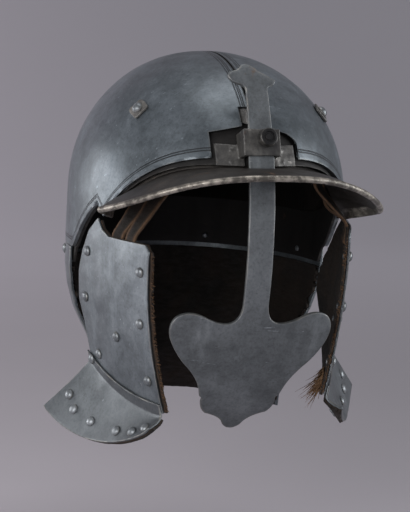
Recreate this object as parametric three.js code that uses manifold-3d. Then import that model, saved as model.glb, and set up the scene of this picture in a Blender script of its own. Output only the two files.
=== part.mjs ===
// Siege helmet of about 1600 to 1650: a thin inner skull under two thick outer half skulls, a peak, a long
// neck guard, an upright nasal bar that slides in a clamp bracket, and two hanging cheek pieces.
//
// Millimetres, +Z up. The helmet faces -Y and its own left side is +X. The origin is the centre of the flat
// underside of the crown patch, where the wearer's head carries the helmet. Most heights below are measured
// from the widest level of the skull, and one group moves the whole helmet down to the origin.

import * as THREE from 'three';
import { mergeVertices } from 'three/addons/utils/BufferGeometryUtils.js';
import Module from 'manifold-3d';

const wasm = await Module();
wasm.setup();

// Driving sizes

const clearance = 0.4;
const overrun = 50;
const thickness = {
  outer: 3.4,
  inner: 2.4,
  peak: 2.2,
  neck: 2.4,
  cheek: 2,
  flare: 2,
  leather: 2.4,
  bar: 3.6,
};

const skull = {
  halfWidth: 124,
  halfDepth: 157,
  domeHeight: 134,
  roundness: 2.08,
  seatDepth: 24,
  seamGap: 1.2,
  facetSlack: 0.8,
  columns: 40,
  rows: 8,
};

// The brow is an arch. Behind it a sharp notch and a round cut leave the ear free.
const rim = {
  browHeight: 51,
  archDrop: 61,
  archPower: 3.4,
  templeAngle: 66,
  notchAngle: 70,
  notchHeight: 10,
  earAngle: 90,
  rearHeight: -46,
  innerRearHeight: -62,
  innerDrop: 1.5,
  browDrop: 5,
};

const brim = {
  endAngle: 60,
  sideReach: 6,
  reach: 205,
  centreDepth: 90,
  frontHeight: 40,
  sideDrop: 40,
  dropPower: 2.5,
  tipHeight: -7,
  flangeHeight: 9,
  flangeGap: 2.8,
  rootDrop: 4,
  crown: 2.5,
  beadRadius: 2.9,
  sections: 24,
};

const neck = {
  frontAngle: 93,
  frontGap: 0.4,
  lowerAngle: 101,
  topHeight: -47,
  bottomHeight: -204,
  skinInset: 0.3,
  waistInset: 32,
  rearFlare: 12,
};

const nasal = {
  radius: 280,
  front: 163,
  centreHeight: -20,
  barHalfWidth: 11.4,
  topHalfWidth: 9.6,
  finialTop: 129,
  finialBase: 111,
  finialHalfWidth: 24.5,
  tipHeight: -193,
  wingHalfWidth: 74,
  wingRadius: 420,
  guardHeight: 115,
  columns: 9,
  degreesPerStep: 3.6,
};

const bracket = {
  halfWidth: 36,
  bottom: 43.5,
  top: 61.5,
  bridgeHalfWidth: 16.5,
  bridgeBottom: 53,
  bridgeTop: 75,
  wall: 2.6,
  flange: 2.4,
  slack: 0.6,
  rivetOffset: 25,
  rivetEdge: 4,
};

// The window in the brow is cut by eye: its left and right corners lie at different heights
const browWindow = { halfWidth: 39.5, top: 77, rightCorner: 71, leftCorner: 66, leftBend: 30 };

const restBlock = { halfWidth: 9.5, bottom: 79, top: 91, side: 1.2 };

const screw = {
  side: 3.6,
  height: 67,
  shankRadius: 3,
  headRadius: 8,
  headHeight: 7,
  bevel: 1.2,
  standOff: 1.5,
  sides: 12,
};

const rosette = { side: 84, height: 84, depth: 65, plate: 16, thick: 2.2, corner: 3, rivetHeight: 4 };

const cheek = {
  rearOutset: 1,
  frontWidth: 92,
  rearDepth: 25,
  frontDepth: 138,
  bulge: 4,
  lean: 16,
  top: -19,
  tipHeight: -12,
  cornerDrop: 6,
  bottomFront: -165,
  bottomRear: -135,
  sag: 14,
  liningMargin: 3,
};

const flare = {
  overlap: 9,
  frontX: 89,
  frontY: 148,
  frontZ: -175,
  rearX: 150,
  rearY: 18,
  rearZ: -182,
  sweep: 22,
  turn: 5,
};

const strap = {
  width: 22,
  top: 22,
  rivetHeight: 15,
  kneeDrop: 9,
  footHeight: 2.3,
  holeRadius: 2.4,
  tailSlack: 1.9,
};

const rivet = {
  headRadius: 4.7,
  headHeight: 2.6,
  shankRadius: 1.6,
  tailRadius: 2.8,
  tailHeight: 1.4,
  seat: 0.7,
  shoulderAngle: 40,
  sides: 6,
};

const lining = { thick: 8, slack: 1.4, rimGap: 30, rows: 5, patchRadius: 32, patchSides: 16, tailSlack: 4 };

// Colours and finishes

const finishes = {
  steel: { color: 0x4a5058, roughness: 0.5, metalness: 0.85 },
  innerSteel: { color: 0x2c2a29, roughness: 0.75, metalness: 0.6 },
  wornSteel: { color: 0x6b6660, roughness: 0.5, metalness: 0.85 },
  rivet: { color: 0x5a5f66, roughness: 0.45, metalness: 0.85 },
  leather: { color: 0x5c3a20, roughness: 0.85, metalness: 0 },
  textile: { color: 0x4a3a2a, roughness: 0.95, metalness: 0 },
};

const degrees = THREE.MathUtils.degToRad;
const lerp = THREE.MathUtils.lerp;
const fullTurn = 360;
const quarterTurn = 90;
const clamp = THREE.MathUtils.clamp;

// Rises from nothing to one at the middle and falls to nothing again
function archShare(share) {
  return 4 * share * (1 - share);
}

// Reads a list of [share, value] pairs at a share between them
function readShares(pairs, share) {
  const first = pairs[0];
  if (share <= first[0]) return first[1];
  for (let k = 1; k < pairs.length; k += 1) {
    const [start, from] = pairs[k - 1];
    const [end, to] = pairs[k];
    if (share <= end) return lerp(from, to, (share - start) / (end - start));
  }
  return pairs[pairs.length - 1][1];
}

// Solids

// Turns a geometry's faces outward, drops faces of no area and leaves only shared points
function tidy(geometry) {
  const bare = geometry.clone();
  bare.deleteAttribute('normal');
  bare.deleteAttribute('uv');
  const merged = mergeVertices(bare);
  const points = merged.getAttribute('position');
  const index = merged.getIndex().array;
  const kept = [];
  const a = new THREE.Vector3();
  const b = new THREE.Vector3();
  const c = new THREE.Vector3();
  let volume = 0;
  for (let k = 0; k < index.length; k += 3) {
    const [i, j, l] = [index[k], index[k + 1], index[k + 2]];
    if (i === j || j === l || l === i) continue;
    kept.push(i, j, l);
    a.fromBufferAttribute(points, i);
    b.fromBufferAttribute(points, j);
    c.fromBufferAttribute(points, l);
    volume += a.dot(b.cross(c));
  }
  if (volume < 0) kept.reverse();
  const result = new THREE.BufferGeometry();
  result.setAttribute('position', points.clone());
  result.setIndex(kept);
  return result;
}

function toSolid(geometry) {
  const closed = tidy(geometry);
  return new wasm.Manifold(new wasm.Mesh({
    numProp: 3,
    vertProperties: new Float32Array(closed.getAttribute('position').array),
    triVerts: new Uint32Array(closed.getIndex().array),
  }));
}

function toGeometry(solid) {
  const mesh = solid.getMesh();
  const geometry = new THREE.BufferGeometry();
  geometry.setAttribute('position', new THREE.BufferAttribute(new Float32Array(mesh.vertProperties), 3));
  geometry.setIndex(new THREE.BufferAttribute(new Uint32Array(mesh.triVerts), 1));
  return geometry;
}

// A closed skin between two grids of points. A wrapped grid closes on itself along its first direction.
function skin(outer, inner, wrapped) {
  const across = outer[0].length;
  const along = outer.length;
  const points = [...outer.flat(), ...inner.flat()];
  const offset = along * across;
  const faces = [];
  const at = (i, j) => (i % along) * across + j;
  const quad = (a, b, c, d) => faces.push(a, b, c, a, c, d);
  const strips = wrapped ? along : along - 1;
  for (let i = 0; i < strips; i += 1) {
    for (let j = 0; j < across - 1; j += 1) {
      quad(at(i, j), at(i + 1, j), at(i + 1, j + 1), at(i, j + 1));
      quad(offset + at(i, j), offset + at(i, j + 1), offset + at(i + 1, j + 1), offset + at(i + 1, j));
    }
    quad(at(i + 1, 0), at(i, 0), offset + at(i, 0), offset + at(i + 1, 0));
    const last = across - 1;
    quad(at(i, last), at(i + 1, last), offset + at(i + 1, last), offset + at(i, last));
  }
  if (!wrapped) {
    for (let j = 0; j < across - 1; j += 1) {
      quad(at(0, j), at(0, j + 1), offset + at(0, j + 1), offset + at(0, j));
      const end = along - 1;
      quad(at(end, j + 1), at(end, j), offset + at(end, j), offset + at(end, j + 1));
    }
  }
  const geometry = new THREE.BufferGeometry();
  geometry.setAttribute('position', new THREE.Float32BufferAttribute(points.flatMap((p) => p.toArray()), 3));
  geometry.setIndex(faces);
  return tidy(geometry);
}

// A ring of sections joined end to end and capped, each section a closed list of points
function loft(sections) {
  const count = sections[0].length;
  const points = sections.flat();
  const faces = [];
  for (let i = 0; i < sections.length - 1; i += 1) {
    for (let j = 0; j < count; j += 1) {
      const next = (j + 1) % count;
      const [a, b, c, d] = [i * count + j, i * count + next, (i + 1) * count + next, (i + 1) * count + j];
      faces.push(a, b, c, a, c, d);
    }
  }
  const cap = (ring, start, flipped) => {
    const flat = ring.map((p) => new THREE.Vector2(Math.hypot(p.x, p.y), p.z));
    const turned = THREE.ShapeUtils.isClockWise(flat) !== flipped;
    for (const corners of THREE.ShapeUtils.triangulateShape(flat, [])) {
      if (turned) corners.reverse();
      faces.push(...corners.map((corner) => start + corner));
    }
  };
  cap(sections[0], 0, true);
  cap(sections[sections.length - 1], (sections.length - 1) * count, false);
  const geometry = new THREE.BufferGeometry();
  geometry.setAttribute('position', new THREE.Float32BufferAttribute(points.flatMap((p) => p.toArray()), 3));
  geometry.setIndex(faces);
  return tidy(geometry);
}

// A plate that follows a surface: surface(u, v) gives a point, and the plate lies between two offsets
function plate(surface, uRange, vRange, steps, offsets) {
  const grids = offsets.map((offset) => {
    const grid = [];
    for (let i = 0; i <= steps[0]; i += 1) {
      const u = lerp(uRange[0], uRange[1], i / steps[0]);
      const line = [];
      for (let j = 0; j <= steps[1]; j += 1) {
        const v = lerp(vRange[0], vRange[1], j / steps[1]);
        line.push(offsetPoint(surface, u, v, offset));
      }
      grid.push(line);
    }
    return grid;
  });
  return skin(grids[0], grids[1], false);
}

const nudgeShare = 0.004;

function surfaceNormal(surface, u, v) {
  const alongU = surface(u + nudgeShare, v).sub(surface(u - nudgeShare, v));
  const alongV = surface(u, v + nudgeShare).sub(surface(u, v - nudgeShare));
  return alongV.cross(alongU).normalize();
}

function offsetPoint(surface, u, v, offset) {
  return surface(u, v).addScaledVector(surfaceNormal(surface, u, v), offset);
}

const outlineSegments = 5;

// An outline in X and Z, extruded along Y from one depth to another
function prism(shape, fromY, toY) {
  const geometry = new THREE.ExtrudeGeometry(shape, {
    depth: toY - fromY, bevelEnabled: false, curveSegments: outlineSegments,
  });
  geometry.rotateX(Math.PI / 2);
  geometry.translate(0, toY, 0);
  return geometry;
}

function boxBetween(low, high) {
  const size = new THREE.Vector3().subVectors(high, low);
  const geometry = new THREE.BoxGeometry(size.x, size.y, size.z);
  const middle = new THREE.Vector3().addVectors(low, high).multiplyScalar(1 / 2);
  return geometry.translate(middle.x, middle.y, middle.z);
}

// Skull

// A point of the skull at an azimuth from the brow towards the left side, at a height, inset from the skin
function skullPoint(azimuth, height, inset) {
  const dome = skull.domeHeight - inset;
  const rise = clamp(height / dome, 0, 1);
  const spread = (1 - rise ** skull.roundness) ** (1 / skull.roundness);
  const x = (skull.halfWidth - inset) * spread * Math.sin(degrees(azimuth));
  const y = -(skull.halfDepth - inset) * spread * Math.cos(degrees(azimuth));
  return new THREE.Vector3(x, y, height);
}

const earCutShares = [[0, 0], [0.3, 0.24], [0.55, 0.5], [0.75, 0.74], [0.9, 0.93], [1, 1]];

// The height of the outer skull's edge at an azimuth
function rimHeight(azimuth) {
  const turned = Math.abs(azimuth > fullTurn / 2 ? azimuth - fullTurn : azimuth);
  const tip = rim.browHeight - rim.archDrop;
  const apex = tip + rim.notchHeight;
  if (turned <= rim.templeAngle) {
    return rim.browHeight - rim.archDrop * (turned / rim.templeAngle) ** rim.archPower;
  }
  if (turned <= rim.notchAngle) {
    return lerp(tip, apex, (turned - rim.templeAngle) / (rim.notchAngle - rim.templeAngle));
  }
  if (turned <= rim.earAngle) {
    const share = (turned - rim.notchAngle) / (rim.earAngle - rim.notchAngle);
    return lerp(apex, rim.rearHeight, readShares(earCutShares, share));
  }
  return rim.rearHeight;
}

function innerRimHeight(azimuth) {
  const turned = Math.abs(azimuth > fullTurn / 2 ? azimuth - fullTurn : azimuth);
  const brow = rim.browDrop * Math.max(1 - (turned / rim.templeAngle) ** 2, 0);
  if (turned <= rim.earAngle) return rimHeight(azimuth) - rim.innerDrop - brow;
  const share = clamp((turned - rim.earAngle) / (neck.frontAngle + neck.frontGap - rim.earAngle), 0, 1);
  return lerp(rim.rearHeight - rim.innerDrop, rim.innerRearHeight, share);
}

// Azimuths of the grid, with the steep end of the arch, the notch and the corners of the ear cut among them
const steepShares = [0.75, 0.89];
const leastStepShare = 1 / 4;

function skullAzimuths() {
  const steep = steepShares.map((share) => rim.templeAngle * share);
  const corners = [...steep, rim.templeAngle, rim.notchAngle, rim.earAngle, neck.frontAngle + neck.frontGap];
  const all = [];
  for (let k = 0; k < skull.columns; k += 1) all.push((fullTurn * k) / skull.columns);
  for (const corner of corners) all.push(corner, fullTurn - corner);
  all.sort((a, b) => a - b);
  const least = (fullTurn / skull.columns) * leastStepShare;
  const fixed = new Set(corners.flatMap((corner) => [corner, fullTurn - corner]));
  return all.filter((azimuth) => {
    if (fixed.has(azimuth)) return true;
    return [...fixed].every((other) => Math.abs(other - azimuth) > least);
  });
}

// Lines of points from the edge to the crown. Both skulls share the rows above the outer skull's edge, so
// that their facets lie parallel, and the inner skull reaches one row lower.
function domeGrid(inset, lowerEdge) {
  return skullAzimuths().map((azimuth) => {
    const low = rimHeight(azimuth);
    const high = skull.domeHeight - inset;
    const line = lowerEdge ? [skullPoint(azimuth, lowerEdge(azimuth), inset)] : [];
    for (let k = 0; k <= skull.rows; k += 1) {
      const share = Math.sin(degrees((quarterTurn * k) / skull.rows));
      line.push(skullPoint(azimuth, lerp(low, high, share), inset));
    }
    return line;
  });
}

function domeShell(outerInset, innerInset, lowerEdge) {
  return skin(domeGrid(outerInset, lowerEdge), domeGrid(innerInset, lowerEdge), true);
}

// A dome that is solid inside and open to nothing, for cutting what stands on the skull or lies in it
function coreBelow(grid) {
  const floor = rim.innerRearHeight - overrun;
  const lines = grid.map((line) => {
    const foot = line[0].clone().setZ(floor);
    return [new THREE.Vector3(0, 0, floor), foot, ...line];
  });
  const across = lines[0].length;
  const faces = [];
  for (let i = 0; i < lines.length; i += 1) {
    const next = (i + 1) % lines.length;
    for (let j = 0; j < across - 1; j += 1) {
      const [a, b, c, d] = [i * across + j, next * across + j, next * across + j + 1, i * across + j + 1];
      faces.push(a, b, c, a, c, d);
    }
  }
  const geometry = new THREE.BufferGeometry();
  const places = lines.flat().flatMap((p) => p.toArray());
  geometry.setAttribute('position', new THREE.Float32BufferAttribute(places, 3));
  geometry.setIndex(faces);
  return toSolid(geometry);
}

function domeCore(inset) {
  return coreBelow(domeGrid(inset, innerRimHeight));
}

const innerSkin = thickness.outer + clearance;
const innerInside = innerSkin + thickness.inner;

// Rivets

// A place on a surface: the point, and the direction that the rivet's head faces
function place(point, normal) {
  return { point, normal: normal.clone().normalize() };
}

function skullPlace(azimuth, height, inset) {
  const surface = (u, v) => skullPoint(azimuth + u, height + v, inset);
  const normal = surfaceNormal(surface, 0, 0);
  const point = skullPoint(azimuth, height, inset);
  if (normal.dot(new THREE.Vector3(point.x, point.y, 0)) < 0) normal.negate();
  return place(point, normal);
}

function oriented(geometry, spot) {
  const turn = new THREE.Quaternion().setFromUnitVectors(new THREE.Vector3(0, 0, 1), spot.normal);
  return geometry.applyQuaternion(turn).translate(spot.point.x, spot.point.y, spot.point.z);
}

// A rivet with its head on the surface, its shank through a stack and a hammered tail on the far side.
// A seat below the surface joins it to the plate that carries it, and a flush rivet has no head.
function rivetShape(spot, stack, { seat = rivet.seat, headHeight = rivet.headHeight, tail = true } = {}) {
  const end = -stack - (tail ? rivet.seat : 0);
  const shoulder = degrees(rivet.shoulderAngle);
  const profile = [new THREE.Vector2(0, end)];
  if (tail) {
    profile[0].y -= rivet.tailHeight;
    profile.push(new THREE.Vector2(rivet.tailRadius, end));
  }
  profile.push(new THREE.Vector2(rivet.shankRadius, end), new THREE.Vector2(rivet.shankRadius, seat));
  if (headHeight > 0) {
    profile.push(
      new THREE.Vector2(rivet.headRadius, seat),
      new THREE.Vector2(rivet.headRadius * Math.cos(shoulder), seat + headHeight * Math.sin(shoulder)),
    );
  }
  profile.push(new THREE.Vector2(0, seat + headHeight));
  const geometry = new THREE.LatheGeometry(profile, rivet.sides).rotateX(Math.PI / 2);
  return tidy(oriented(geometry, spot));
}

function withRivets(solid, spots, stack, options) {
  return spots.reduce((sum, spot) => sum.add(toSolid(rivetShape(spot, stack, options))), solid);
}

// Cuts a hole for each rivet's shank
function drilled(solid, spots, radius = rivet.shankRadius + clearance) {
  let result = solid;
  for (const spot of spots) {
    const hole = new THREE.CylinderGeometry(radius, radius, overrun, rivet.sides).rotateX(Math.PI / 2);
    result = result.subtract(toSolid(oriented(hole, spot)));
  }
  return result;
}

// Nasal

const hingeDepth = nasal.radius - nasal.front;

// A point of the nasal's sheet: across it, at a height, and at a distance from its middle surface
function nasalPoint(across, angle, outward) {
  const beyond = Math.max(Math.abs(across) - nasal.barHalfWidth, 0);
  const bend = beyond ** 2 / (2 * nasal.wingRadius);
  const reach = nasal.radius + outward - bend;
  return new THREE.Vector3(
    across,
    hingeDepth - reach * Math.cos(angle),
    nasal.centreHeight + reach * Math.sin(angle),
  );
}

// Points of the finial and the guard as shares of their half widths and heights: each curve has a bend and
// an end
const finialTopShare = [-0.32, 1];
const pointShares = [
  [[-0.1, 0.98], [0.12, 0.7]],
  [[0.42, 0.52], [0.73, 0.27]],
  [[0.68, 0.06], [0.52, 0.01]],
];
const pointNeckShare = [0.4, -0.02];
const lobeShares = [
  [[-0.42, 0.06], [-0.66, 0.11]],
  [[-0.9, 0.18], [-0.99, 0.42]],
  [[-1.03, 0.62], [-0.82, 0.67]],
  [[-0.6, 0.72], [-0.52, 0.88]],
  [[-0.46, 1], [-0.32, 1]],
];
const finialNeckShare = -0.17;
const guardFilletShare = 1.04;
const guardShares = [
  ['curve', [0.16, 0.885], [0.34, 0.885]],
  ['curve', [0.44, 0.885], [0.56, 0.92]],
  ['curve', [0.78, 1], [0.93, 0.93]],
  ['curve', [1.03, 0.86], [0.97, 0.75]],
  ['curve', [0.9, 0.64], [0.74, 0.54]],
  ['curve', [0.54, 0.42], [0.5, 0.29]],
  ['line', [0.46, 0.27]],
  ['curve', [0.48, 0.18], [0.38, 0.14]],
  ['curve', [0.3, 0.13], [0.22, 0.105]],
  ['curve', [0.15, 0.08], [0.12, 0.04]],
  ['curve', [0.07, 0], [0, 0]],
];

function arcAngle(height) {
  return Math.asin((height - nasal.centreHeight) / nasal.radius);
}

// A band of the arc that the bar follows, between two heights and two distances from its middle surface
function arcBand(halfWidth, low, high, inside, outside, columns) {
  const from = arcAngle(low);
  const to = arcAngle(high);
  const steps = Math.ceil((to - from) / degrees(nasal.degreesPerStep));
  const grids = [outside, inside].map((outward) => {
    const grid = [];
    for (let i = 0; i <= columns; i += 1) {
      const line = [];
      for (let j = 0; j <= steps; j += 1) {
        line.push(nasalPoint(lerp(-halfWidth, halfWidth, i / columns), lerp(from, to, j / steps), outward));
      }
      grid.push(line);
    }
    return grid;
  });
  return skin(grids[0], grids[1], false);
}

// The outline of the nasal. The finial is a leaf with a round lobe on the helmet's right and a point on its
// left, and the guard below it is the same on both sides.
function nasalOutline() {
  const shape = new THREE.Shape();
  const guardTop = nasal.tipHeight + nasal.guardHeight;
  const finialHeight = nasal.finialTop - nasal.finialBase;
  const guard = (across, up) => [nasal.wingHalfWidth * across, lerp(nasal.tipHeight, guardTop, up)];
  const finial = (across, up) => [nasal.finialHalfWidth * across, nasal.finialBase + finialHeight * up];
  const neckOfBar = (side) => [side * nasal.topHalfWidth, finial(0, finialNeckShare)[1]];
  const guardSteps = [
    ['line', [nasal.barHalfWidth, rim.browHeight]],
    ['line', [nasal.barHalfWidth, guard(0, guardFilletShare)[1]]],
    ...guardShares.map(([kind, ...ends]) => [kind, ...ends.map((pair) => guard(...pair))]),
  ];
  const put = ([kind, ...ends], side) => {
    const flat = ends.flatMap(([x, z]) => [side * x, z]);
    if (kind === 'line') shape.lineTo(...flat);
    if (kind === 'curve') shape.quadraticCurveTo(...flat);
  };
  shape.moveTo(...finial(...finialTopShare));
  for (const [bend, end] of pointShares) put(['curve', finial(...bend), finial(...end)], 1);
  put(['curve', finial(...pointNeckShare), neckOfBar(1)], 1);
  for (const step of guardSteps) put(step, 1);
  for (let k = guardSteps.length - 1; k >= 0; k -= 1) {
    const [kind, ...ends] = guardSteps[k];
    const before = k > 0 ? guardSteps[k - 1][guardSteps[k - 1].length - 1] : neckOfBar(1);
    put([kind, ...ends.slice(0, -1), before], -1);
  }
  for (const [bend, end] of lobeShares) put(['curve', finial(...bend), finial(...end)], 1);
  return shape;
}

function nasalSolid() {
  const half = thickness.bar / 2;
  const band = arcBand(
    nasal.wingHalfWidth + overrun, nasal.tipHeight - clearance, nasal.finialTop + clearance,
    -half, half, nasal.columns,
  );
  const cutter = prism(nasalOutline(), -nasal.front - overrun, hingeDepth);
  return toSolid(band).intersect(toSolid(cutter));
}

// The way of the bar through the peak and under the bracket
function barPassage(slack, inward) {
  const half = thickness.bar / 2;
  return toSolid(arcBand(
    nasal.barHalfWidth + slack, -overrun, nasal.finialTop, -half - inward, half + slack, 1,
  ));
}

// Bracket, rest block and clamp screw

function bracketSpots() {
  const spots = [];
  const azimuth = Math.asin(bracket.rivetOffset / skull.halfWidth) / degrees(1);
  for (const side of [-1, 1]) {
    for (const height of [bracket.bottom + bracket.rivetEdge, bracket.top - bracket.rivetEdge]) {
      spots.push(skullPlace(side * azimuth, height, innerSkin - clearance - bracket.flange));
    }
  }
  return spots;
}

function screwSpot() {
  const angle = arcAngle(screw.height);
  const point = nasalPoint(screw.side, angle, thickness.bar / 2);
  return place(point, new THREE.Vector3(0, -Math.cos(angle), Math.sin(angle)));
}

function bracketSolid() {
  const frontY = -nasal.front - overrun;
  const flangeBox = toSolid(boxBetween(
    new THREE.Vector3(-bracket.halfWidth, frontY, bracket.bottom),
    new THREE.Vector3(bracket.halfWidth, 0, bracket.top),
  ));
  const foot = innerSkin - clearance;
  const flange = domeCore(foot - bracket.flange).subtract(domeCore(foot)).intersect(flangeBox);
  const half = thickness.bar / 2;
  const bridge = toSolid(arcBand(
    bracket.bridgeHalfWidth, bracket.bridgeBottom, bracket.bridgeTop, -overrun,
    half + bracket.slack + bracket.wall, 1,
  )).subtract(domeCore(foot));
  const hole = new THREE.CylinderGeometry(
    screw.shankRadius + clearance, screw.shankRadius + clearance, overrun, screw.sides,
  ).rotateX(Math.PI / 2);
  const opened = flange.add(bridge).subtract(barPassage(bracket.slack, overrun));
  const bored = opened.subtract(toSolid(oriented(hole, screwSpot())));
  const stack = strapInset - innerSkin + clearance + bracket.flange;
  return withRivets(bored, bracketSpots(), stack, { seat: 0, headHeight: 0 });
}

function screwShape() {
  const tip = clearance;
  const under = bracket.slack + bracket.wall + screw.standOff;
  const profile = [
    new THREE.Vector2(0, tip),
    new THREE.Vector2(screw.shankRadius, tip),
    new THREE.Vector2(screw.shankRadius, under),
    new THREE.Vector2(screw.headRadius, under),
    new THREE.Vector2(screw.headRadius, under + screw.headHeight - screw.bevel),
    new THREE.Vector2(screw.headRadius - screw.bevel, under + screw.headHeight),
    new THREE.Vector2(0, under + screw.headHeight),
  ];
  const geometry = new THREE.LatheGeometry(profile, screw.sides).rotateX(Math.PI / 2);
  return tidy(oriented(geometry, screwSpot()));
}

function restBlockSolid() {
  const frontY = -nasal.front - overrun;
  const block = toSolid(boxBetween(
    new THREE.Vector3(-restBlock.halfWidth, frontY, restBlock.bottom),
    new THREE.Vector3(restBlock.halfWidth, 0, restBlock.top),
  ));
  const ahead = toSolid(arcBand(
    nasal.barHalfWidth + overrun, -overrun, nasal.finialTop,
    -thickness.bar / 2 - clearance, 2 * overrun, 1,
  ));
  return block.subtract(domeCore(innerSkin - clearance)).subtract(ahead);
}

// Outer half skulls

function windowShape() {
  const shape = new THREE.Shape();
  const wide = browWindow.halfWidth;
  const notch = restBlock.halfWidth + restBlock.side;
  const notchTop = restBlock.top + restBlock.side;
  shape.moveTo(-wide, 0);
  shape.lineTo(wide, 0);
  shape.lineTo(wide, bracket.top);
  shape.quadraticCurveTo(wide, browWindow.leftCorner, browWindow.leftBend, browWindow.rightCorner);
  shape.lineTo(notch, browWindow.top);
  shape.lineTo(notch, notchTop);
  shape.lineTo(-notch, notchTop);
  shape.lineTo(-notch, browWindow.top);
  shape.lineTo(-wide, browWindow.rightCorner);
  shape.closePath();
  return shape;
}

function rosetteSpots() {
  return [-1, 1].map((side) => {
    const azimuth = side * (Math.atan2(rosette.side / skull.halfWidth, rosette.depth / skull.halfDepth)
      / degrees(1));
    return skullPlace(azimuth, rosette.height, 0);
  });
}

function outerHalf(side) {
  const whole = toSolid(domeShell(0, thickness.outer));
  const far = skull.halfDepth + overrun;
  const keep = toSolid(boxBetween(
    new THREE.Vector3(side > 0 ? skull.seamGap / 2 : -far, -far, -far),
    new THREE.Vector3(side > 0 ? far : -skull.seamGap / 2, far, far),
  ));
  const opening = toSolid(prism(windowShape(), -far, 0));
  return drilled(whole.intersect(keep).subtract(opening), rosetteSpots());
}

// Peak

const brimTuckShare = 0.9;
const brimBelowShares = [1 / 3, 2 / 3];
const beadTurns = 4;
const beadSweep = 135;

// A section of the peak at a share from the right temple (-1) to the left temple (1)
function peakSection(share) {
  const azimuth = brim.endAngle * share;
  const inset = innerInside + brim.flangeGap;
  const low = innerRimHeight(azimuth);
  const root = skullPoint(azimuth, low - brim.rootDrop, inset + thickness.peak / 2);
  const flangeTop = skullPoint(azimuth, low + brim.flangeHeight, inset + thickness.peak / 2);
  const sweep = degrees(quarterTurn * share);
  const taper = Math.cos(sweep);
  const x = (skull.halfWidth + brim.sideReach) * Math.sin(sweep);
  const y = -brim.centreDepth - (brim.reach - brim.centreDepth) * taper;
  const drop = brim.sideDrop * Math.abs(Math.sin(sweep)) ** brim.dropPower;
  const edge = new THREE.Vector3(x, y, brim.frontHeight - drop);
  const tuck = clamp((Math.abs(share) - brimTuckShare) / (1 - brimTuckShare), 0, 1);
  const temple = skullPoint(azimuth, brim.tipHeight, -brim.beadRadius);
  edge.lerp(temple, tuck);
  return { root, flangeTop, edge };
}

function peakSolid() {
  const sections = [];
  const half = thickness.peak / 2;
  for (let k = 0; k <= brim.sections; k += 1) {
    const { root, flangeTop, edge } = peakSection(lerp(-1, 1, k / brim.sections));
    const outward = new THREE.Vector3(edge.x - root.x, edge.y - root.y, 0).normalize();
    const up = new THREE.Vector3(0, 0, 1);
    const reach = new THREE.Vector3().subVectors(edge, root);
    const span = reach.dot(outward);
    const along = (share) => root.clone().addScaledVector(reach, share)
      .addScaledVector(up, brim.crown * archShare(share));
    const section = [
      flangeTop.clone().addScaledVector(outward, half),
      flangeTop.clone().addScaledVector(outward, -half),
      root.clone().addScaledVector(outward, -half).addScaledVector(up, -half),
    ];
    const stop = 1 - brim.beadRadius / span;
    const below = [...brimBelowShares, stop];
    for (const share of below) section.push(along(share).addScaledVector(up, -half));
    for (let turn = 0; turn <= beadTurns; turn += 1) {
      const angle = degrees(lerp(-beadSweep, beadSweep, turn / beadTurns));
      section.push(edge.clone()
        .addScaledVector(outward, brim.beadRadius * Math.cos(angle))
        .addScaledVector(up, brim.beadRadius * Math.sin(angle)));
    }
    for (const share of below.reverse()) section.push(along(share).addScaledVector(up, half));
    section.push(root.clone().addScaledVector(outward, half).addScaledVector(up, half));
    sections.push(section);
  }
  const slotted = drilled(toSolid(loft(sections)), bracketSpots())
    .subtract(barPassage(2 * clearance, 2 * clearance));
  const stack = thickness.peak + brim.flangeGap + thickness.inner;
  return withRivets(slotted, peakSpots(), stack - skull.facetSlack, { seat: -clearance, tail: false });
}

const peakRivetShares = [-0.84, -0.56, 0.56, 0.84];

function peakSpots() {
  return peakRivetShares.map((share) => {
    const azimuth = brim.endAngle * share;
    const height = innerRimHeight(azimuth) + brim.flangeHeight / 2;
    const spot = skullPlace(azimuth, height, innerInside + brim.flangeGap + thickness.peak);
    spot.normal.negate();
    return spot;
  });
}

// Neck guard

const neckSteps = [14, 8];
const neckKickShare = 0.7;
const neckInsetShares = [
  [0, 0], [0.125, 0], [0.25, 0.08], [0.375, 0.26], [0.55, 0.68], [0.75, 1], [1, 0.92],
];

function neckSurface(u, v) {
  const height = lerp(neck.topHeight, neck.bottomHeight, v);
  const front = lerp(neck.frontAngle, neck.lowerAngle, clamp(v, 0, 1) ** 2);
  const azimuth = lerp(front, fullTurn - front, u);
  const inset = neck.skinInset + neck.waistInset * readShares(neckInsetShares, v);
  const point = skullPoint(azimuth, height, inset);
  const kick = neck.rearFlare * clamp((v - neckKickShare) / (1 - neckKickShare), 0, 1) ** 2;
  const rearward = Math.max(-Math.cos(degrees(azimuth)), 0);
  return point.add(new THREE.Vector3(0, kick * rearward, 0));
}

function neckSolid() {
  const geometry = plate(neckSurface, [0, 1], [0, 1], neckSteps, [0, -thickness.neck]);
  const stack = innerInside - neck.skinInset + skull.facetSlack;
  return withRivets(toSolid(geometry), neckSpots(), stack, { seat: -clearance });
}

// The leather inside the neck guard starts one step in from its sides and its top
function neckLiningShape() {
  const [columns, rows] = neckSteps;
  const outer = -thickness.neck - clearance;
  const inner = outer - thickness.leather;
  const across = [1 / columns, 1 - 1 / columns];
  return plate(neckSurface, across, [1 / rows, 1], [columns - 2, rows - 1], [outer, inner]);
}

const neckRivetAzimuths = [108, 156, 204, 252];

function neckSpots() {
  const height = (neck.topHeight + rim.innerRearHeight) / 2;
  return neckRivetAzimuths.map((azimuth) => skullPlace(azimuth, height, neck.skinInset));
}

// Inner skull and its lining

function innerSkullSolid() {
  const shell = toSolid(domeShell(innerSkin, innerInside, innerRimHeight));
  const spots = [rosetteSpots(), peakSpots(), neckSpots(), bracketSpots(), strapSpots()].flat();
  return drilled(shell, spots);
}

const liningInset = innerInside + lining.slack;
const strapInset = innerInside + brim.flangeGap + thickness.peak + clearance;

function liningEdge(azimuth) {
  return Math.max(innerRimHeight(azimuth), rim.rearHeight) + lining.rimGap;
}

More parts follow.
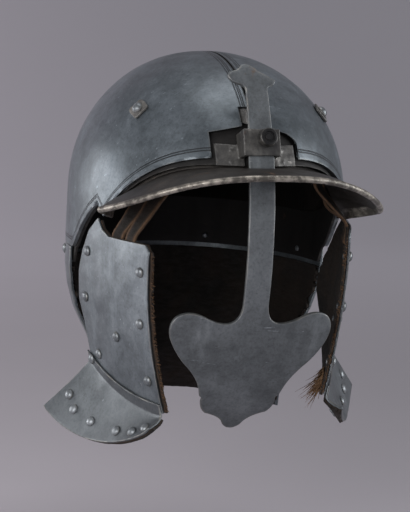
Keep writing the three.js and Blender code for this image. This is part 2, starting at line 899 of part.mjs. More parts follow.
function liningGrid(inset) {
  const grid = [];
  const columns = skull.columns / 2;
  for (let k = 0; k < columns; k += 1) {
    const azimuth = (fullTurn * k) / columns;
    const line = [];
    for (let j = 0; j <= lining.rows; j += 1) {
      const share = Math.sin(degrees((quarterTurn * j) / lining.rows));
      const high = skull.domeHeight - inset;
      line.push(skullPoint(azimuth, lerp(liningEdge(azimuth), high, share), inset));
    }
    grid.push(line);
  }
  return grid;
}

function liningSolid() {
  const shell = toSolid(skin(liningGrid(liningInset), liningGrid(liningInset + lining.thick), true));
  return drilled(shell, rosetteSpots());
}

// The crown patch is flat below and fills the top of the lining
function crownPatchSolid() {
  const floor = skull.domeHeight - skull.seatDepth;
  const radius = lining.patchRadius;
  const disc = new THREE.CylinderGeometry(radius, radius, overrun, lining.patchSides);
  disc.rotateX(Math.PI / 2).translate(0, 0, floor + overrun / 2);
  return toSolid(disc).intersect(coreBelow(liningGrid(liningInset + lining.thick + clearance)));
}

// Rosettes: a squarish washer with a rivet through both skulls

function rosetteWasher(spot) {
  const half = rosette.plate / 2;
  const corner = rosette.corner;
  const shape = new THREE.Shape();
  shape.moveTo(-half + corner, -half);
  shape.lineTo(half - corner, -half);
  shape.quadraticCurveTo(half, -half, half, -half + corner);
  shape.lineTo(half, half - corner);
  shape.quadraticCurveTo(half, half, half - corner, half);
  shape.lineTo(-half + corner, half);
  shape.quadraticCurveTo(-half, half, -half, half - corner);
  shape.lineTo(-half, -half + corner);
  shape.quadraticCurveTo(-half, -half, -half + corner, -half);
  const geometry = new THREE.ExtrudeGeometry(shape, {
    depth: rosette.thick, bevelEnabled: false, curveSegments: 2,
  }).translate(0, 0, clearance);
  return drilled(toSolid(oriented(geometry, spot)), [spot]);
}

function rosetteRivet(spot) {
  const lift = clearance + rosette.thick;
  const raised = place(spot.point.clone().addScaledVector(spot.normal, lift), spot.normal);
  const stack = lift + liningInset + lining.thick + lining.tailSlack;
  return rivetShape(raised, stack, { headHeight: rosette.rivetHeight });
}

// Cheek pieces, made for the left side. The right one is mirrored and hangs lower.

const cheekRearShares = [
  [0, 0.33], [0.1, 0.19], [0.25, 0.08], [0.4, 0.01], [0.6, 0], [0.75, 0.07], [1, 0.13],
];
const cheekFrontShares = [[0, 0], [0.3, 0.017], [0.6, 0.01], [1, -0.03]];
const cheekTopShares = [[0, 0], [0.75, 0], [0.9, 0.35], [1, 1]];
const cheekLeanPower = 2;
const cheekCornerShare = 0.06;

function cheekWidth(depth, height) {
  const share = (depth - cheek.rearDepth) / (cheek.frontDepth - cheek.rearDepth);
  const rearWidth = skull.halfWidth + cheek.rearOutset;
  const plan = lerp(rearWidth, cheek.frontWidth, share) + cheek.bulge * archShare(share);
  const down = (cheek.top - height) / (cheek.top - cheek.bottomFront);
  return plan - cheek.lean * Math.max(down, 0) ** cheekLeanPower;
}

// u runs from the front edge to the rear edge, and v from the top edge to the crease above the flare.
// The tip at the rear of the top edge reaches one height on both sides, though the right cheek hangs lower.
function cheekPoint(side, u, v) {
  const length = cheek.frontDepth - cheek.rearDepth;
  const front = cheek.frontDepth - length * readShares(cheekFrontShares, v);
  const rear = cheek.rearDepth + length * readShares(cheekRearShares, v);
  const depth = lerp(front, rear, u);
  const tip = cheek.tipHeight - (side * cheek.sag) / 2;
  const cut = cheek.cornerDrop * clamp(1 - u / cheekCornerShare, 0, 1);
  const top = lerp(cheek.top, tip, readShares(cheekTopShares, u)) - cut;
  const bottom = lerp(cheek.bottomFront, cheek.bottomRear, clamp(u, 0, 1) ** 2);
  const height = lerp(top, bottom, v);
  return new THREE.Vector3(cheekWidth(depth, height), -depth, height);
}

const flareBendShare = 0.22;
const flareSweepPower = 0.7;

function flareEdge(u) {
  return new THREE.Vector3(
    lerp(flare.frontX, flare.rearX, u),
    -lerp(flare.frontY, flare.rearY, u),
    lerp(flare.frontZ, flare.rearZ, u) - flare.sweep * Math.sin(Math.PI * clamp(u, 0, 1)) ** flareSweepPower,
  );
}

// u runs as on the cheek plate, and v from the upper edge, over the plate, to the outer edge
function flarePoint(side, u, v) {
  const gap = thickness.flare + clearance;
  const height = cheek.top - cheek.bottomFront;
  const cheekSurface = (a, b) => cheekPoint(side, a, b);
  const upper = offsetPoint(cheekSurface, u, 1 - flare.overlap / height, gap);
  const crease = offsetPoint(cheekSurface, u, 1, gap);
  const turn = crease.clone().lerp(upper, -flare.turn / flare.overlap);
  const outer = flareEdge(u);
  const bend = flareBendShare;
  if (v <= bend) return upper.lerp(crease, v / bend);
  const share = (v - bend) / (1 - bend);
  const curve = new THREE.QuadraticBezierCurve3(crease, turn, outer);
  return curve.getPoint(share);
}

const cheekRivetShares = [
  [0.93, 0.2], [0.87, 0.5], [0.8, 0.86], [0.1, 0.17], [0.1, 0.48], [0.1, 0.82], [0.42, 0.62],
];
const flareRivetShares = [
  [0.93, 0.08], [0.09, 0.8], [0.2, 0.86], [0.36, 0.86], [0.63, 0.86], [0.82, 0.86], [0.93, 0.8],
];

function surfaceSpots(surface, shares, offset) {
  return shares.map(([u, v]) => place(offsetPoint(surface, u, v, offset), surfaceNormal(surface, u, v)));
}

const cheekSteps = [7, 8];
const flareSteps = [9, 5];
const flareLiningSteps = [9, 3];
const flareLiningShare = 0.42;
const cheekLiningOffsets = [-thickness.cheek - clearance, -thickness.cheek - clearance - thickness.leather];

function cheekParts(side) {
  const cheekSurface = (u, v) => cheekPoint(side, u, v);
  const flareSurface = (u, v) => flarePoint(side, u, v);
  const spots = surfaceSpots(cheekSurface, cheekRivetShares, 0);
  const flareSpots = surfaceSpots(flareSurface, flareRivetShares, 0);
  const joining = flareSpots.slice(0, 1);
  const outer = flareSpots.slice(1);
  const margin = cheek.liningMargin / (cheek.frontDepth - cheek.rearDepth);
  const stack = thickness.cheek + clearance + thickness.leather;
  const outerStack = thickness.flare + clearance + thickness.leather;
  const joinStack = outerStack + thickness.cheek + clearance;
  const under = [-thickness.flare - clearance, -outerStack];
  const cheekHoles = [...spots, ...joining];
  return {
    plate: drilled(toSolid(
      plate(cheekSurface, [0, 1], [0, 1], cheekSteps, [0, -thickness.cheek]),
    ), cheekHoles),
    lining: drilled(toSolid(
      plate(cheekSurface, [-margin, 1 - margin], [0, 1], cheekSteps, cheekLiningOffsets),
    ), cheekHoles),
    flare: drilled(toSolid(
      plate(flareSurface, [0, 1], [0, 1], flareSteps, [0, -thickness.flare]),
    ), flareSpots),
    flareLining: drilled(toSolid(
      plate(flareSurface, [0, 1], [flareLiningShare, 1], flareLiningSteps, under),
    ), outer),
    rivets: spots.map((spot) => rivetShape(spot, stack)),
    flareRivets: [
      ...joining.map((spot) => rivetShape(spot, joinStack)),
      ...outer.map((spot) => rivetShape(spot, outerStack)),
    ],
  };
}

// Hanging leathers, from inside the skull down to the fold above each cheek plate

const strapSteps = [2, 8];
const strapAzimuths = { front: 41, rear: 52 };

function strapShape(side, azimuth) {
  const spread = strap.width / 2 / skull.halfDepth / degrees(1);
  const low = cheek.top + strap.footHeight + (side * cheek.sag) / 2;
  const high = innerRimHeight(azimuth) + strap.top;
  const middle = innerRimHeight(azimuth + spread) - strap.kneeDrop;
  const inset = strapInset + clearance;
  const bend = (high - middle) / (high - low);
  const surface = (u, v) => {
    const turned = azimuth + lerp(-spread, spread, u);
    const top = skullPoint(turned, high, inset);
    const knee = skullPoint(turned, middle, inset);
    if (v <= bend) return top.lerp(knee, v / bend);
    const inside = cheekWidth(-knee.y, cheek.top) - thickness.cheek - clearance;
    const foot = new THREE.Vector3(inside, knee.y, low);
    return knee.lerp(foot, (v - bend) / (1 - bend));
  };
  const strip = toSolid(plate(surface, [0, 1], [0, 1], strapSteps, [0, -thickness.leather]));
  return drilled(strip, [strapSpot(azimuth)], strap.holeRadius);
}

function strapSpot(azimuth) {
  return skullPlace(azimuth, innerRimHeight(azimuth) + strap.rivetHeight, innerSkin);
}

const sunk = { seat: -clearance - skull.facetSlack, headHeight: 0 };

function strapSpots() {
  return Object.values(strapAzimuths).flatMap((azimuth) => [strapSpot(azimuth), strapSpot(-azimuth)]);
}

// Assembly

const helmet = new THREE.Group();
const built = new THREE.Group();
built.position.z = -(skull.domeHeight - skull.seatDepth);
helmet.add(built);

function put(group, name, form, finish) {
  const geometry = form.isBufferGeometry ? form : toGeometry(form);
  geometry.computeVertexNormals();
  const mesh = new THREE.Mesh(geometry, new THREE.MeshStandardMaterial(finishes[finish]));
  mesh.name = name;
  group.add(mesh);
}

put(built, 'inner_skull', innerSkullSolid(), 'innerSteel');
put(built, 'outer_skull_left', outerHalf(1), 'steel');
put(built, 'outer_skull_right', outerHalf(-1), 'steel');
put(built, 'peak', peakSolid(), 'steel');
put(built, 'neck_guard', neckSolid(), 'steel');
put(built, 'neck_lining', neckLiningShape(), 'leather');
put(built, 'nasal', nasalSolid(), 'steel');
put(built, 'nasal_bracket', bracketSolid(), 'wornSteel');
put(built, 'bar_rest_block', restBlockSolid(), 'wornSteel');
put(built, 'clamp_screw', screwShape(), 'rivet');
put(built, 'lining_cap', liningSolid(), 'textile');
put(built, 'crown_patch', crownPatchSolid(), 'leather');

rosetteSpots().forEach((spot, k) => {
  const tag = ['right', 'left'][k];
  put(built, `rosette_washer_${tag}`, rosetteWasher(spot), 'wornSteel');
  put(built, `rosette_rivet_${tag}`, rosetteRivet(spot), 'rivet');
});

for (const [side, tag] of [[1, 'left'], [-1, 'right']]) {
  const parts = cheekParts(side);
  const group = new THREE.Group();
  group.position.z = (side * cheek.sag) / 2;
  built.add(group);
  const sided = (form) => {
    const geometry = form.isBufferGeometry ? form : toGeometry(form);
    return side > 0 ? geometry : tidy(geometry.scale(-1, 1, 1));
  };
  put(group, `cheek_plate_${tag}`, sided(parts.plate), 'steel');
  put(group, `cheek_lining_${tag}`, sided(parts.lining), 'leather');
  put(group, `cheek_flare_${tag}`, sided(parts.flare), 'steel');
  put(group, `flare_lining_${tag}`, sided(parts.flareLining), 'leather');
  parts.rivets.forEach((shape, k) => put(group, `cheek_rivet_${tag}_${k + 1}`, sided(shape), 'rivet'));
  parts.flareRivets.forEach((shape, k) => put(group, `flare_rivet_${tag}_${k + 1}`, sided(shape), 'rivet'));
  for (const [end, azimuth] of Object.entries(strapAzimuths)) {
    const stack = strapInset - innerSkin + clearance + thickness.leather + strap.tailSlack;
    put(built, `hanging_leather_${tag}_${end}`, sided(strapShape(side, azimuth)), 'leather');
    const spot = strapSpot(side * azimuth);
    put(built, `leather_rivet_${tag}_${end}`, rivetShape(spot, stack, sunk), 'rivet');
  }
}

export default helmet;
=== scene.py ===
import math
import random

import bmesh
import bpy
import numpy as np
from mathutils import Matrix, Vector, kdtree, noise
from mathutils.geometry import delaunay_2d_cdt


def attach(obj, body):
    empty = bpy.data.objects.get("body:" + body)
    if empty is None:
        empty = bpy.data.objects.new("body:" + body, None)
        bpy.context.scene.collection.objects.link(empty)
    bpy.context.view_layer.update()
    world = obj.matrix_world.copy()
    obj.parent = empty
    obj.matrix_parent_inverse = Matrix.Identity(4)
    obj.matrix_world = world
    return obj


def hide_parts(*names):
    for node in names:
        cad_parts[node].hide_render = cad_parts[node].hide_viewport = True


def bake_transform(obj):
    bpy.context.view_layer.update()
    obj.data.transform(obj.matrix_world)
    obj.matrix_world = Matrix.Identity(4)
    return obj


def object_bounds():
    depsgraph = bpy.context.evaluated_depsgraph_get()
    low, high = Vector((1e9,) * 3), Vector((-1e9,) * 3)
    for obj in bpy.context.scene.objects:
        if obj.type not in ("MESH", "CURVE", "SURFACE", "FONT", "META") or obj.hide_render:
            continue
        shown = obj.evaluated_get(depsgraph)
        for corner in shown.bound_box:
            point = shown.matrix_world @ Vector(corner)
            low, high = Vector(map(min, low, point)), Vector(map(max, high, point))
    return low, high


# The dressed siege helmet, in metres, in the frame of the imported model: +Z up, the face towards -Y and the
# wearer's left towards +X. Heights below are measured from the widest level of the skull, as in the part.

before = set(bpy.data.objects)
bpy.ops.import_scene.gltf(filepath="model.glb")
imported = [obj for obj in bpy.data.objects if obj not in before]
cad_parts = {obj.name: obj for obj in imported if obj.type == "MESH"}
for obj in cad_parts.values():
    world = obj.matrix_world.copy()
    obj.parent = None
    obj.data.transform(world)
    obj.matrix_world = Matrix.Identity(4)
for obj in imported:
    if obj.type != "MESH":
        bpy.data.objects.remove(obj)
cad_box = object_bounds()
LEVEL = -0.110
AT_LEVEL = np.array((0, 0, LEVEL))
SIDES = (("left", 1), ("right", -1))

# Driving sizes, the same as the part's

CLEAR = 0.0004
OUTER_THICK = 0.0034
INNER_THICK = 0.0024
PEAK_THICK = 0.0022
NECK_THICK = 0.0024
CHEEK_THICK = 0.002
LEATHER_THICK = 0.0024
BAR_THICK = 0.0036

SKULL_HALF_WIDTH = 0.124
SKULL_HALF_DEPTH = 0.157
DOME_HEIGHT = 0.134
ROUNDNESS = 2.08
SEAM_GAP = 0.0012

BROW_HEIGHT = 0.051
ARCH_DROP = 0.061
ARCH_POWER = 3.4
TEMPLE_ANGLE = 66
NOTCH_ANGLE = 70
NOTCH_RISE = 0.010
EAR_ANGLE = 90
NECK_FRONT_ANGLE = 93
REAR_HEIGHT = -0.046
INNER_REAR_HEIGHT = -0.062
INNER_DROP = 0.0015
BROW_DROP = 0.005
EAR_CUT = ((0, 0), (0.3, 0.24), (0.55, 0.5), (0.75, 0.74), (0.9, 0.93), (1, 1))

INNER_STEP_ANGLE = NECK_FRONT_ANGLE + 0.4
SKULL_CORNERS = [TEMPLE_ANGLE, NOTCH_ANGLE, EAR_ANGLE, INNER_STEP_ANGLE]
INNER_SKIN = OUTER_THICK + CLEAR
INNER_INSIDE = INNER_SKIN + INNER_THICK

BRIM_END_ANGLE = 60
BRIM_HALF_WIDTH = 0.130
BRIM_REACH = 0.205
BRIM_CENTRE_DEPTH = 0.090
BRIM_FRONT_HEIGHT = 0.040
BRIM_SIDE_DROP = 0.040
BRIM_DROP_POWER = 2.5
BRIM_TIP_HEIGHT = -0.007
BRIM_FLANGE = 0.009
BRIM_GAP = 0.0028
BRIM_ROOT_DROP = 0.004
BRIM_CROWN = 0.0025
BRIM_BEAD = 0.0029
PEAK_RIVETS = (-0.84, -0.56, 0.56, 0.84)

NECK_LOWER_ANGLE = 101
NECK_TOP = -0.047
NECK_BOTTOM = -0.204
NECK_SKIN_INSET = 0.0003
NECK_WAIST_INSET = 0.032
NECK_FLARE = 0.012
NECK_INSETS = ((0, 0), (0.125, 0), (0.25, 0.08), (0.375, 0.26), (0.55, 0.68), (0.75, 1), (1, 0.92))
NECK_RIVETS = (108, 156, 204, 252)

NASAL_RADIUS = 0.280
NASAL_FRONT = 0.163
NASAL_CENTRE = -0.020
BAR_HALF = 0.0114
BAR_TOP_HALF = 0.0096
FINIAL_TOP = 0.129
FINIAL_BASE = 0.111
FINIAL_HALF = 0.0245
FINIAL_PEAK = (-0.32, 1)
FINIAL_POINT = (((-0.1, 0.98), (0.12, 0.7)), ((0.42, 0.52), (0.73, 0.27)), ((0.68, 0.06), (0.52, 0.01)))
FINIAL_LOBE = (((-0.42, 0.06), (-0.66, 0.11)), ((-0.9, 0.18), (-0.99, 0.42)), ((-1.03, 0.62), (-0.82, 0.67)),
               ((-0.6, 0.72), (-0.52, 0.88)), ((-0.46, 1), (-0.32, 1)))
FINIAL_NECK = -0.17
GUARD_TIP = -0.193
GUARD_HALF = 0.074
GUARD_RISE = 0.115
WING_RADIUS = 0.420

WINDOW_HALF = 0.0395
WINDOW_TOP = 0.077
WINDOW_RIGHT_CORNER = 0.071
WINDOW_LEFT_CORNER = 0.066
WINDOW_LEFT_BEND = 0.030
BRACKET_TOP = 0.0615
BLOCK_HALF = 0.0095
BLOCK_TOP = 0.091
BLOCK_SIDE = 0.0012

SCREW_SIDE = 0.0036
SCREW_HEIGHT = 0.067
SCREW_RADIUS = 0.008
SCREW_UNDER = 0.0047
SCREW_RISE = 0.007
SCREW_HEAD = ((0, 0.93), (0.34, 0.95), (0.4, 0.86), (0.56, 0.86), (0.62, 0.99), (0.86, 1), (0.95, 0.93), (1, 0.78),
              (1, 0.16), (0.95, 0))
SCREW_COLLAR = 0.0036
SCREW_SHANK = 0.003
SCREW_SIDES = 48

ROSETTE_SIDE = 0.084
ROSETTE_HEIGHT = 0.084
ROSETTE_DEPTH = 0.065
WASHER_HEIGHT = 0.0026

CHEEK_REAR_WIDTH = 0.125
CHEEK_FRONT_WIDTH = 0.092
CHEEK_REAR_DEPTH = 0.025
CHEEK_FRONT_DEPTH = 0.138
CHEEK_BULGE = 0.004
CHEEK_LEAN = 0.016
CHEEK_LEAN_POWER = 2
CHEEK_TOP = -0.019
CHEEK_TIP = -0.012
CHEEK_CORNER_DROP = 0.006
CHEEK_CORNER = 0.06
CHEEK_BOTTOM_FRONT = -0.165
CHEEK_BOTTOM_REAR = -0.135
CHEEK_SAG = 0.014
CHEEK_REAR = ((0, 0.33), (0.1, 0.19), (0.25, 0.08), (0.4, 0.01), (0.6, 0), (0.75, 0.07), (1, 0.13))
CHEEK_FRONT = ((0, 0), (0.3, 0.017), (0.6, 0.01), (1, -0.03))
CHEEK_TOP_LINE = ((0, 0), (0.75, 0), (0.9, 0.35), (1, 1))
CHEEK_RIVETS = ((0.93, 0.2), (0.87, 0.5), (0.8, 0.86), (0.1, 0.17), (0.1, 0.48), (0.1, 0.82), (0.42, 0.62))

FLARE_OVERLAP = 0.009
FLARE_FRONT = (0.089, 0.148, -0.175)
FLARE_REAR = (0.150, 0.018, -0.182)
FLARE_SWEEP = 0.022
FLARE_TURN = 0.005
FLARE_BEND = 0.22
FLARE_LINING_TOP = 0.42
FLARE_RIVETS = ((0.93, 0.08), (0.09, 0.8), (0.2, 0.86), (0.36, 0.86), (0.63, 0.86), (0.82, 0.86), (0.93, 0.8))

RIVET_RADIUS = 0.0047
RIVET_RISE = 0.0026
RIVET_DOME = ((0, 1.0), (0.3, 0.97), (0.55, 0.86), (0.78, 0.62), (0.93, 0.34), (1.0, 0.1), (0.985, 0))
RIVET_SEAT = 0.0002
RIVET_SHANK = 0.0016
RIVET_TAIL = ((0.0027, 0.0002), (0.0027, 0.0007), (0.0015, 0.0014))
RIVET_WOBBLE = 0.045
RIVET_SIDES = 28

LINING_THICK = 0.008
LINING_SAG = 0.012
SAG_START = 0.3
LINING_RIM_GAP = 0.030
LINING_OUTSIDE = INNER_INSIDE + 0.0014
LINING_CHANNELS = 24
LINING_PUFF = 0.0022
CHEEK_MARGIN = 0.003

STRAP_OUTSIDE = INNER_INSIDE + BRIM_GAP + PEAK_THICK + CLEAR
STRAP_WIDTH = 0.022
STRAP_TOP = 0.022
STRAP_RIVET = 0.015
STRAP_KNEE = 0.009
STRAP_FOLD = 0.0023
STRAP_TAIL = 0.016
STRAPS = (("front", 41), ("rear", 52))

# Torn leather: how many fibres, their seeds, where they start, and their lengths and half widths

FRINGE_COUNT = 260
FRINGE_SEED = 11
FRINGE_PLACES = (0.02, 0.98)
FRINGE_LENGTHS = (0.0012, 0.0042)
FRINGE_WIDTHS = (0.00025, 0.0007)
TUFT_COUNT = 110
TUFT_SEED = 31
TUFT_PLACES = ((0.03, 0.4), (0.9, 0.985))
TUFT_LENGTHS = (0.006, 0.022)
TUFT_WIDTHS = (0.0003, 0.0011)
FIBRE_SIDES = 3

# Steps of the meshes, in degrees, metres or pieces, and of u and v for the normals of a surface

SKULL_STEP = 1.5
SKULL_ROWS = 56
INNER_STEP = 2
LINING_STEP = 1.25
INNER_ROWS = 40
CORNER_ROOM = 0.4
LINING_EASE = 12
BRIM_STEPS = 480
BRIM_ROWS = 10
DENT_SIZE = 0.006
NICK_SIZE = 0.0018
OUTLINE_STEP = 0.0016
NET_STEP = 0.0032
PLATE_NUDGE = 0.003
SPOT_NUDGE = 0.004


# Small helpers

def lerp(a, b, t):
    return a + (b - a) * t


def shares(pairs, t):
    return np.interp(t, [p[0] for p in pairs], [p[1] for p in pairs])


# A curve from one point to another that leans towards a third
def bezier(start, bend, end, t):
    return (1 - t) ** 2 * start + 2 * t * (1 - t) * bend + t ** 2 * end


def vec(*parts):
    return np.stack(np.broadcast_arrays(*parts), axis=-1).astype(float)


def unit(v):
    return v / np.linalg.norm(v, axis=-1, keepdims=True)


def linked(obj):
    bpy.context.scene.collection.objects.link(obj)
    return obj


def new_object(name, points, faces):
    mesh = bpy.data.meshes.new(name)
    mesh.from_pydata([tuple(p) for p in points], [], faces)
    return linked(bpy.data.objects.new(name, mesh))


# Joins each ring of points to the next one
def ring_faces(rings, sides, start=0):
    faces = []
    for i in range(rings - 1):
        low, high = start + i * sides, start + (i + 1) * sides
        for k in range(sides):
            near = (k + 1) % sides
            faces.append((low + k, low + near, high + near, high + k))
    return faces


# Closes a skin between two grids of points; a wrapped grid closes on itself along its first direction
def skin_faces(along, across, wrapped):
    faces = []
    offset = along * across

    def at(i, j):
        return (i % along) * across + j

    strips = along if wrapped else along - 1
    for i in range(strips):
        for j in range(across - 1):
            a, b, c, d = at(i, j), at(i + 1, j), at(i + 1, j + 1), at(i, j + 1)
            faces.append((a, b, c, d))
            faces.append((offset + a, offset + d, offset + c, offset + b))
        for j in (0, across - 1):
            a, b = at(i, j), at(i + 1, j)
            faces.append((a, offset + a, offset + b, b))
    if not wrapped:
        for i in (0, along - 1):
            for j in range(across - 1):
                a, b = at(i, j), at(i, j + 1)
                faces.append((a, b, offset + b, offset + a))
    return faces


def shell(name, outer, inner, wrapped=False):
    along, across = outer.shape[:2]
    points = np.concatenate([outer.reshape(-1, 3), inner.reshape(-1, 3)]) + AT_LEVEL
    return new_object(name, points, skin_faces(along, across, wrapped))


# Merges shared points, turns the faces outward, rounds the sharp edges a little and shades the rest smooth
def tidy(obj, bevel=0.0, sharp=35.0):
    work = bmesh.new()
    work.from_mesh(obj.data)
    bmesh.ops.remove_doubles(work, verts=work.verts, dist=1e-6)
    bmesh.ops.dissolve_degenerate(work, edges=work.edges, dist=1e-7)
    bmesh.ops.recalc_face_normals(work, faces=work.faces)
    limit = math.radians(sharp)
    if bevel:
        edges = [e for e in work.edges if len(e.link_faces) == 2 and e.calc_face_angle(0) > limit]
        bmesh.ops.bevel(work, geom=edges, offset=bevel, segments=2, profile=0.5,
                        affect="EDGES", clamp_overlap=True)
    for face in work.faces:
        face.smooth = True
    for edge in work.edges:
        edge.smooth = len(edge.link_faces) != 2 or edge.calc_face_angle(0) < limit
    work.to_mesh(obj.data)
    work.free()
    obj.data.update()
    return obj


def cut(obj, cutters):
    for tool in cutters:
        step = obj.modifiers.new("cut", "BOOLEAN")
        step.operation = "DIFFERENCE"
        step.solver = "EXACT"
        step.object = tool
    applied = bpy.data.meshes.new_from_object(obj.evaluated_get(bpy.context.evaluated_depsgraph_get()))
    obj.modifiers.clear()
    obj.data = applied
    for tool in cutters:
        bpy.data.objects.remove(tool)
    return obj


def coordinates(obj):
    places = np.zeros(len(obj.data.vertices) * 3)
    obj.data.vertices.foreach_get("co", places)
    return places.reshape(-1, 3)


# How far each place is from the nearest mark
def nearest(places, marks):
    tree = kdtree.KDTree(len(marks))
    for k, mark in enumerate(marks):
        tree.insert(mark, k)
    tree.balance()
    return np.array([tree.find(place)[2] for place in places])


def store(obj, name, values):
    layer = obj.data.attributes.new(name, "FLOAT", "POINT")
    layer.data.foreach_set("value", np.asarray(values, dtype=np.float32))


# Moves each point along its normal by soft noise, for hammered and handled surfaces, inside the part's box
def roughen(obj, amount, size, seed=0.0):
    shift = Vector((seed, seed * 1.7, -seed))
    places = coordinates(obj)
    normals = np.zeros(places.size)
    obj.data.vertices.foreach_get("normal", normals)
    push = np.array([noise.noise(p + shift) + 0.5 * noise.noise(p * 2.3 + shift)
                     for p in map(Vector, places / size)])
    places = np.clip(places + normals.reshape(-1, 3) * (amount * push)[:, None], *np.array(cad_box))
    obj.data.vertices.foreach_set("co", places.astype(np.float32).reshape(-1))
    obj.data.update()
    return obj


def wear(obj, material, body, *nodes, slot=None):
    obj.data.materials.clear()
    obj.data.materials.append(material)
    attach(obj, body)
    if nodes:
        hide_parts(*nodes)
    return obj


# Skull

def skull_points(azimuth, height, inset):
    dome = DOME_HEIGHT - inset
    rise = np.clip(height / dome, 0, 1)
    spread = (1 - rise ** ROUNDNESS) ** (1 / ROUNDNESS)
    turn = np.radians(azimuth)
    x = (SKULL_HALF_WIDTH - inset) * spread * np.sin(turn)
    y = -(SKULL_HALF_DEPTH - inset) * spread * np.cos(turn)
    return vec(x, y, height)


def turned(azimuth):
    return np.abs((np.asarray(azimuth, dtype=float) + 180) % 360 - 180)


def rim_height(azimuth):
    away = turned(azimuth)
    tip = BROW_HEIGHT - ARCH_DROP
    apex = tip + NOTCH_RISE
    arch = BROW_HEIGHT - ARCH_DROP * (away / TEMPLE_ANGLE) ** ARCH_POWER
    notch = lerp(tip, apex, (away - TEMPLE_ANGLE) / (NOTCH_ANGLE - TEMPLE_ANGLE))
    ear = lerp(apex, REAR_HEIGHT, shares(EAR_CUT, (away - NOTCH_ANGLE) / (EAR_ANGLE - NOTCH_ANGLE)))
    low = np.where(away <= TEMPLE_ANGLE, arch, np.where(away <= NOTCH_ANGLE, notch, ear))
    return np.where(away > EAR_ANGLE, REAR_HEIGHT, low)


def inner_rim_height(azimuth):
    away = turned(azimuth)
    share = np.clip((away - EAR_ANGLE) / (INNER_STEP_ANGLE - EAR_ANGLE), 0, 1)
    behind = lerp(REAR_HEIGHT - INNER_DROP, INNER_REAR_HEIGHT, share)
    brow = BROW_DROP * np.maximum(1 - (away / TEMPLE_ANGLE) ** 2, 0)
    return np.where(away <= EAR_ANGLE, rim_height(azimuth) - INNER_DROP - brow, behind)


def dome_grid(azimuths, rows, inset, low):
    share = np.sin(np.radians(np.linspace(0, 90, rows + 1)))
    azimuth = azimuths[:, None]
    height = lerp(low(azimuths)[:, None], DOME_HEIGHT - inset, share[None, :])
    return skull_points(azimuth, height, inset)


def with_corners(values, corners):
    corners = np.array(corners, dtype=float)
    kept = [v for v in values if np.min(np.abs(corners - v)) > CORNER_ROOM]
    return np.sort(np.concatenate([kept, corners]))


# The window in the brow is cut by eye: its corners lie at different heights
def window_outline():
    notch = BLOCK_HALF + BLOCK_SIDE
    start = np.array((WINDOW_HALF, BRACKET_TOP))
    bend = np.array((WINDOW_HALF, WINDOW_LEFT_CORNER))
    end = np.array((WINDOW_LEFT_BEND, WINDOW_RIGHT_CORNER))
    corner = [bezier(start, bend, end, t) for t in np.linspace(0, 1, 9)]
    return np.array([(-WINDOW_HALF, 0), (WINDOW_HALF, 0), *corner, (notch, WINDOW_TOP),
                     (notch, BLOCK_TOP + BLOCK_SIDE), (-notch, BLOCK_TOP + BLOCK_SIDE), (-notch, WINDOW_TOP),
                     (-WINDOW_HALF, WINDOW_RIGHT_CORNER)])


def window_cutter():
    far = SKULL_HALF_DEPTH + WINDOW_TOP
    outline = window_outline()
    count = len(outline)
    points = [(x, y, z + LEVEL) for y in (-far, 0) for x, z in outline]
    faces = [tuple(range(count)), tuple(range(2 * count - 1, count - 1, -1))]
    faces += [(k, k + count, (k + 1) % count + count, (k + 1) % count) for k in range(count)]
    return tidy(new_object("window_cutter", points, faces))


def azimuth_of(places):
    return np.degrees(np.arctan2(places[..., 0] / SKULL_HALF_WIDTH, -places[..., 1] / SKULL_HALF_DEPTH))


# How far each point of the outer skull is from the rim, the seam and the window
def edge_distances(places):
    rim = places[:, 2] - LEVEL - rim_height(azimuth_of(places))
    seam = np.abs(places[:, 0]) - SEAM_GAP / 2
    window = distance_to(window_outline(), places[:, (0, 2)] - np.array((0, LEVEL)))
    window = np.where(places[:, 1] > 0, 1.0, window)
    return np.clip(rim, 0, 1), np.clip(seam, 0, 1), np.clip(window, 0, 1)


def outer_skull(tag, side, material):
    azimuths = with_corners(np.arange(0, 180 + SKULL_STEP, SKULL_STEP), SKULL_CORNERS)
    outer = dome_grid(azimuths * side, SKULL_ROWS, 0.0, rim_height)
    inner = dome_grid(azimuths * side, SKULL_ROWS, OUTER_THICK, rim_height)
    for grid in (outer, inner):
        grid[..., 0] = side * np.maximum(side * grid[..., 0], SEAM_GAP / 2)
    obj = tidy(shell("outer_skull_dressed_" + tag, outer, inner))
    cut(obj, [window_cutter()])
    tidy(obj, bevel=0.0005)
    roughen(obj, 0.0004, 0.05, seed=side)
    rim, seam, window = edge_distances(coordinates(obj))
    store(obj, "rim", rim)
    store(obj, "seam", seam)
    store(obj, "edge", np.minimum(np.minimum(rim, seam), window))
    return wear(obj, material, "skull", "outer_skull_" + tag, slot="steel")


def inner_skull(material):
    azimuths = with_corners(np.arange(-180, 180, INNER_STEP), SKULL_CORNERS + [-c for c in SKULL_CORNERS])
    outer = dome_grid(azimuths, INNER_ROWS, INNER_SKIN, inner_rim_height)
    inner = dome_grid(azimuths, INNER_ROWS, INNER_INSIDE, inner_rim_height)
    obj = tidy(shell("inner_skull_dressed", outer, inner, wrapped=True), bevel=0.0004)
    places = coordinates(obj)
    store(obj, "edge", np.clip(places[:, 2] - LEVEL - inner_rim_height(azimuth_of(places)), 0, 1))
    return wear(obj, material, "skull", "inner_skull", slot="inner_steel")


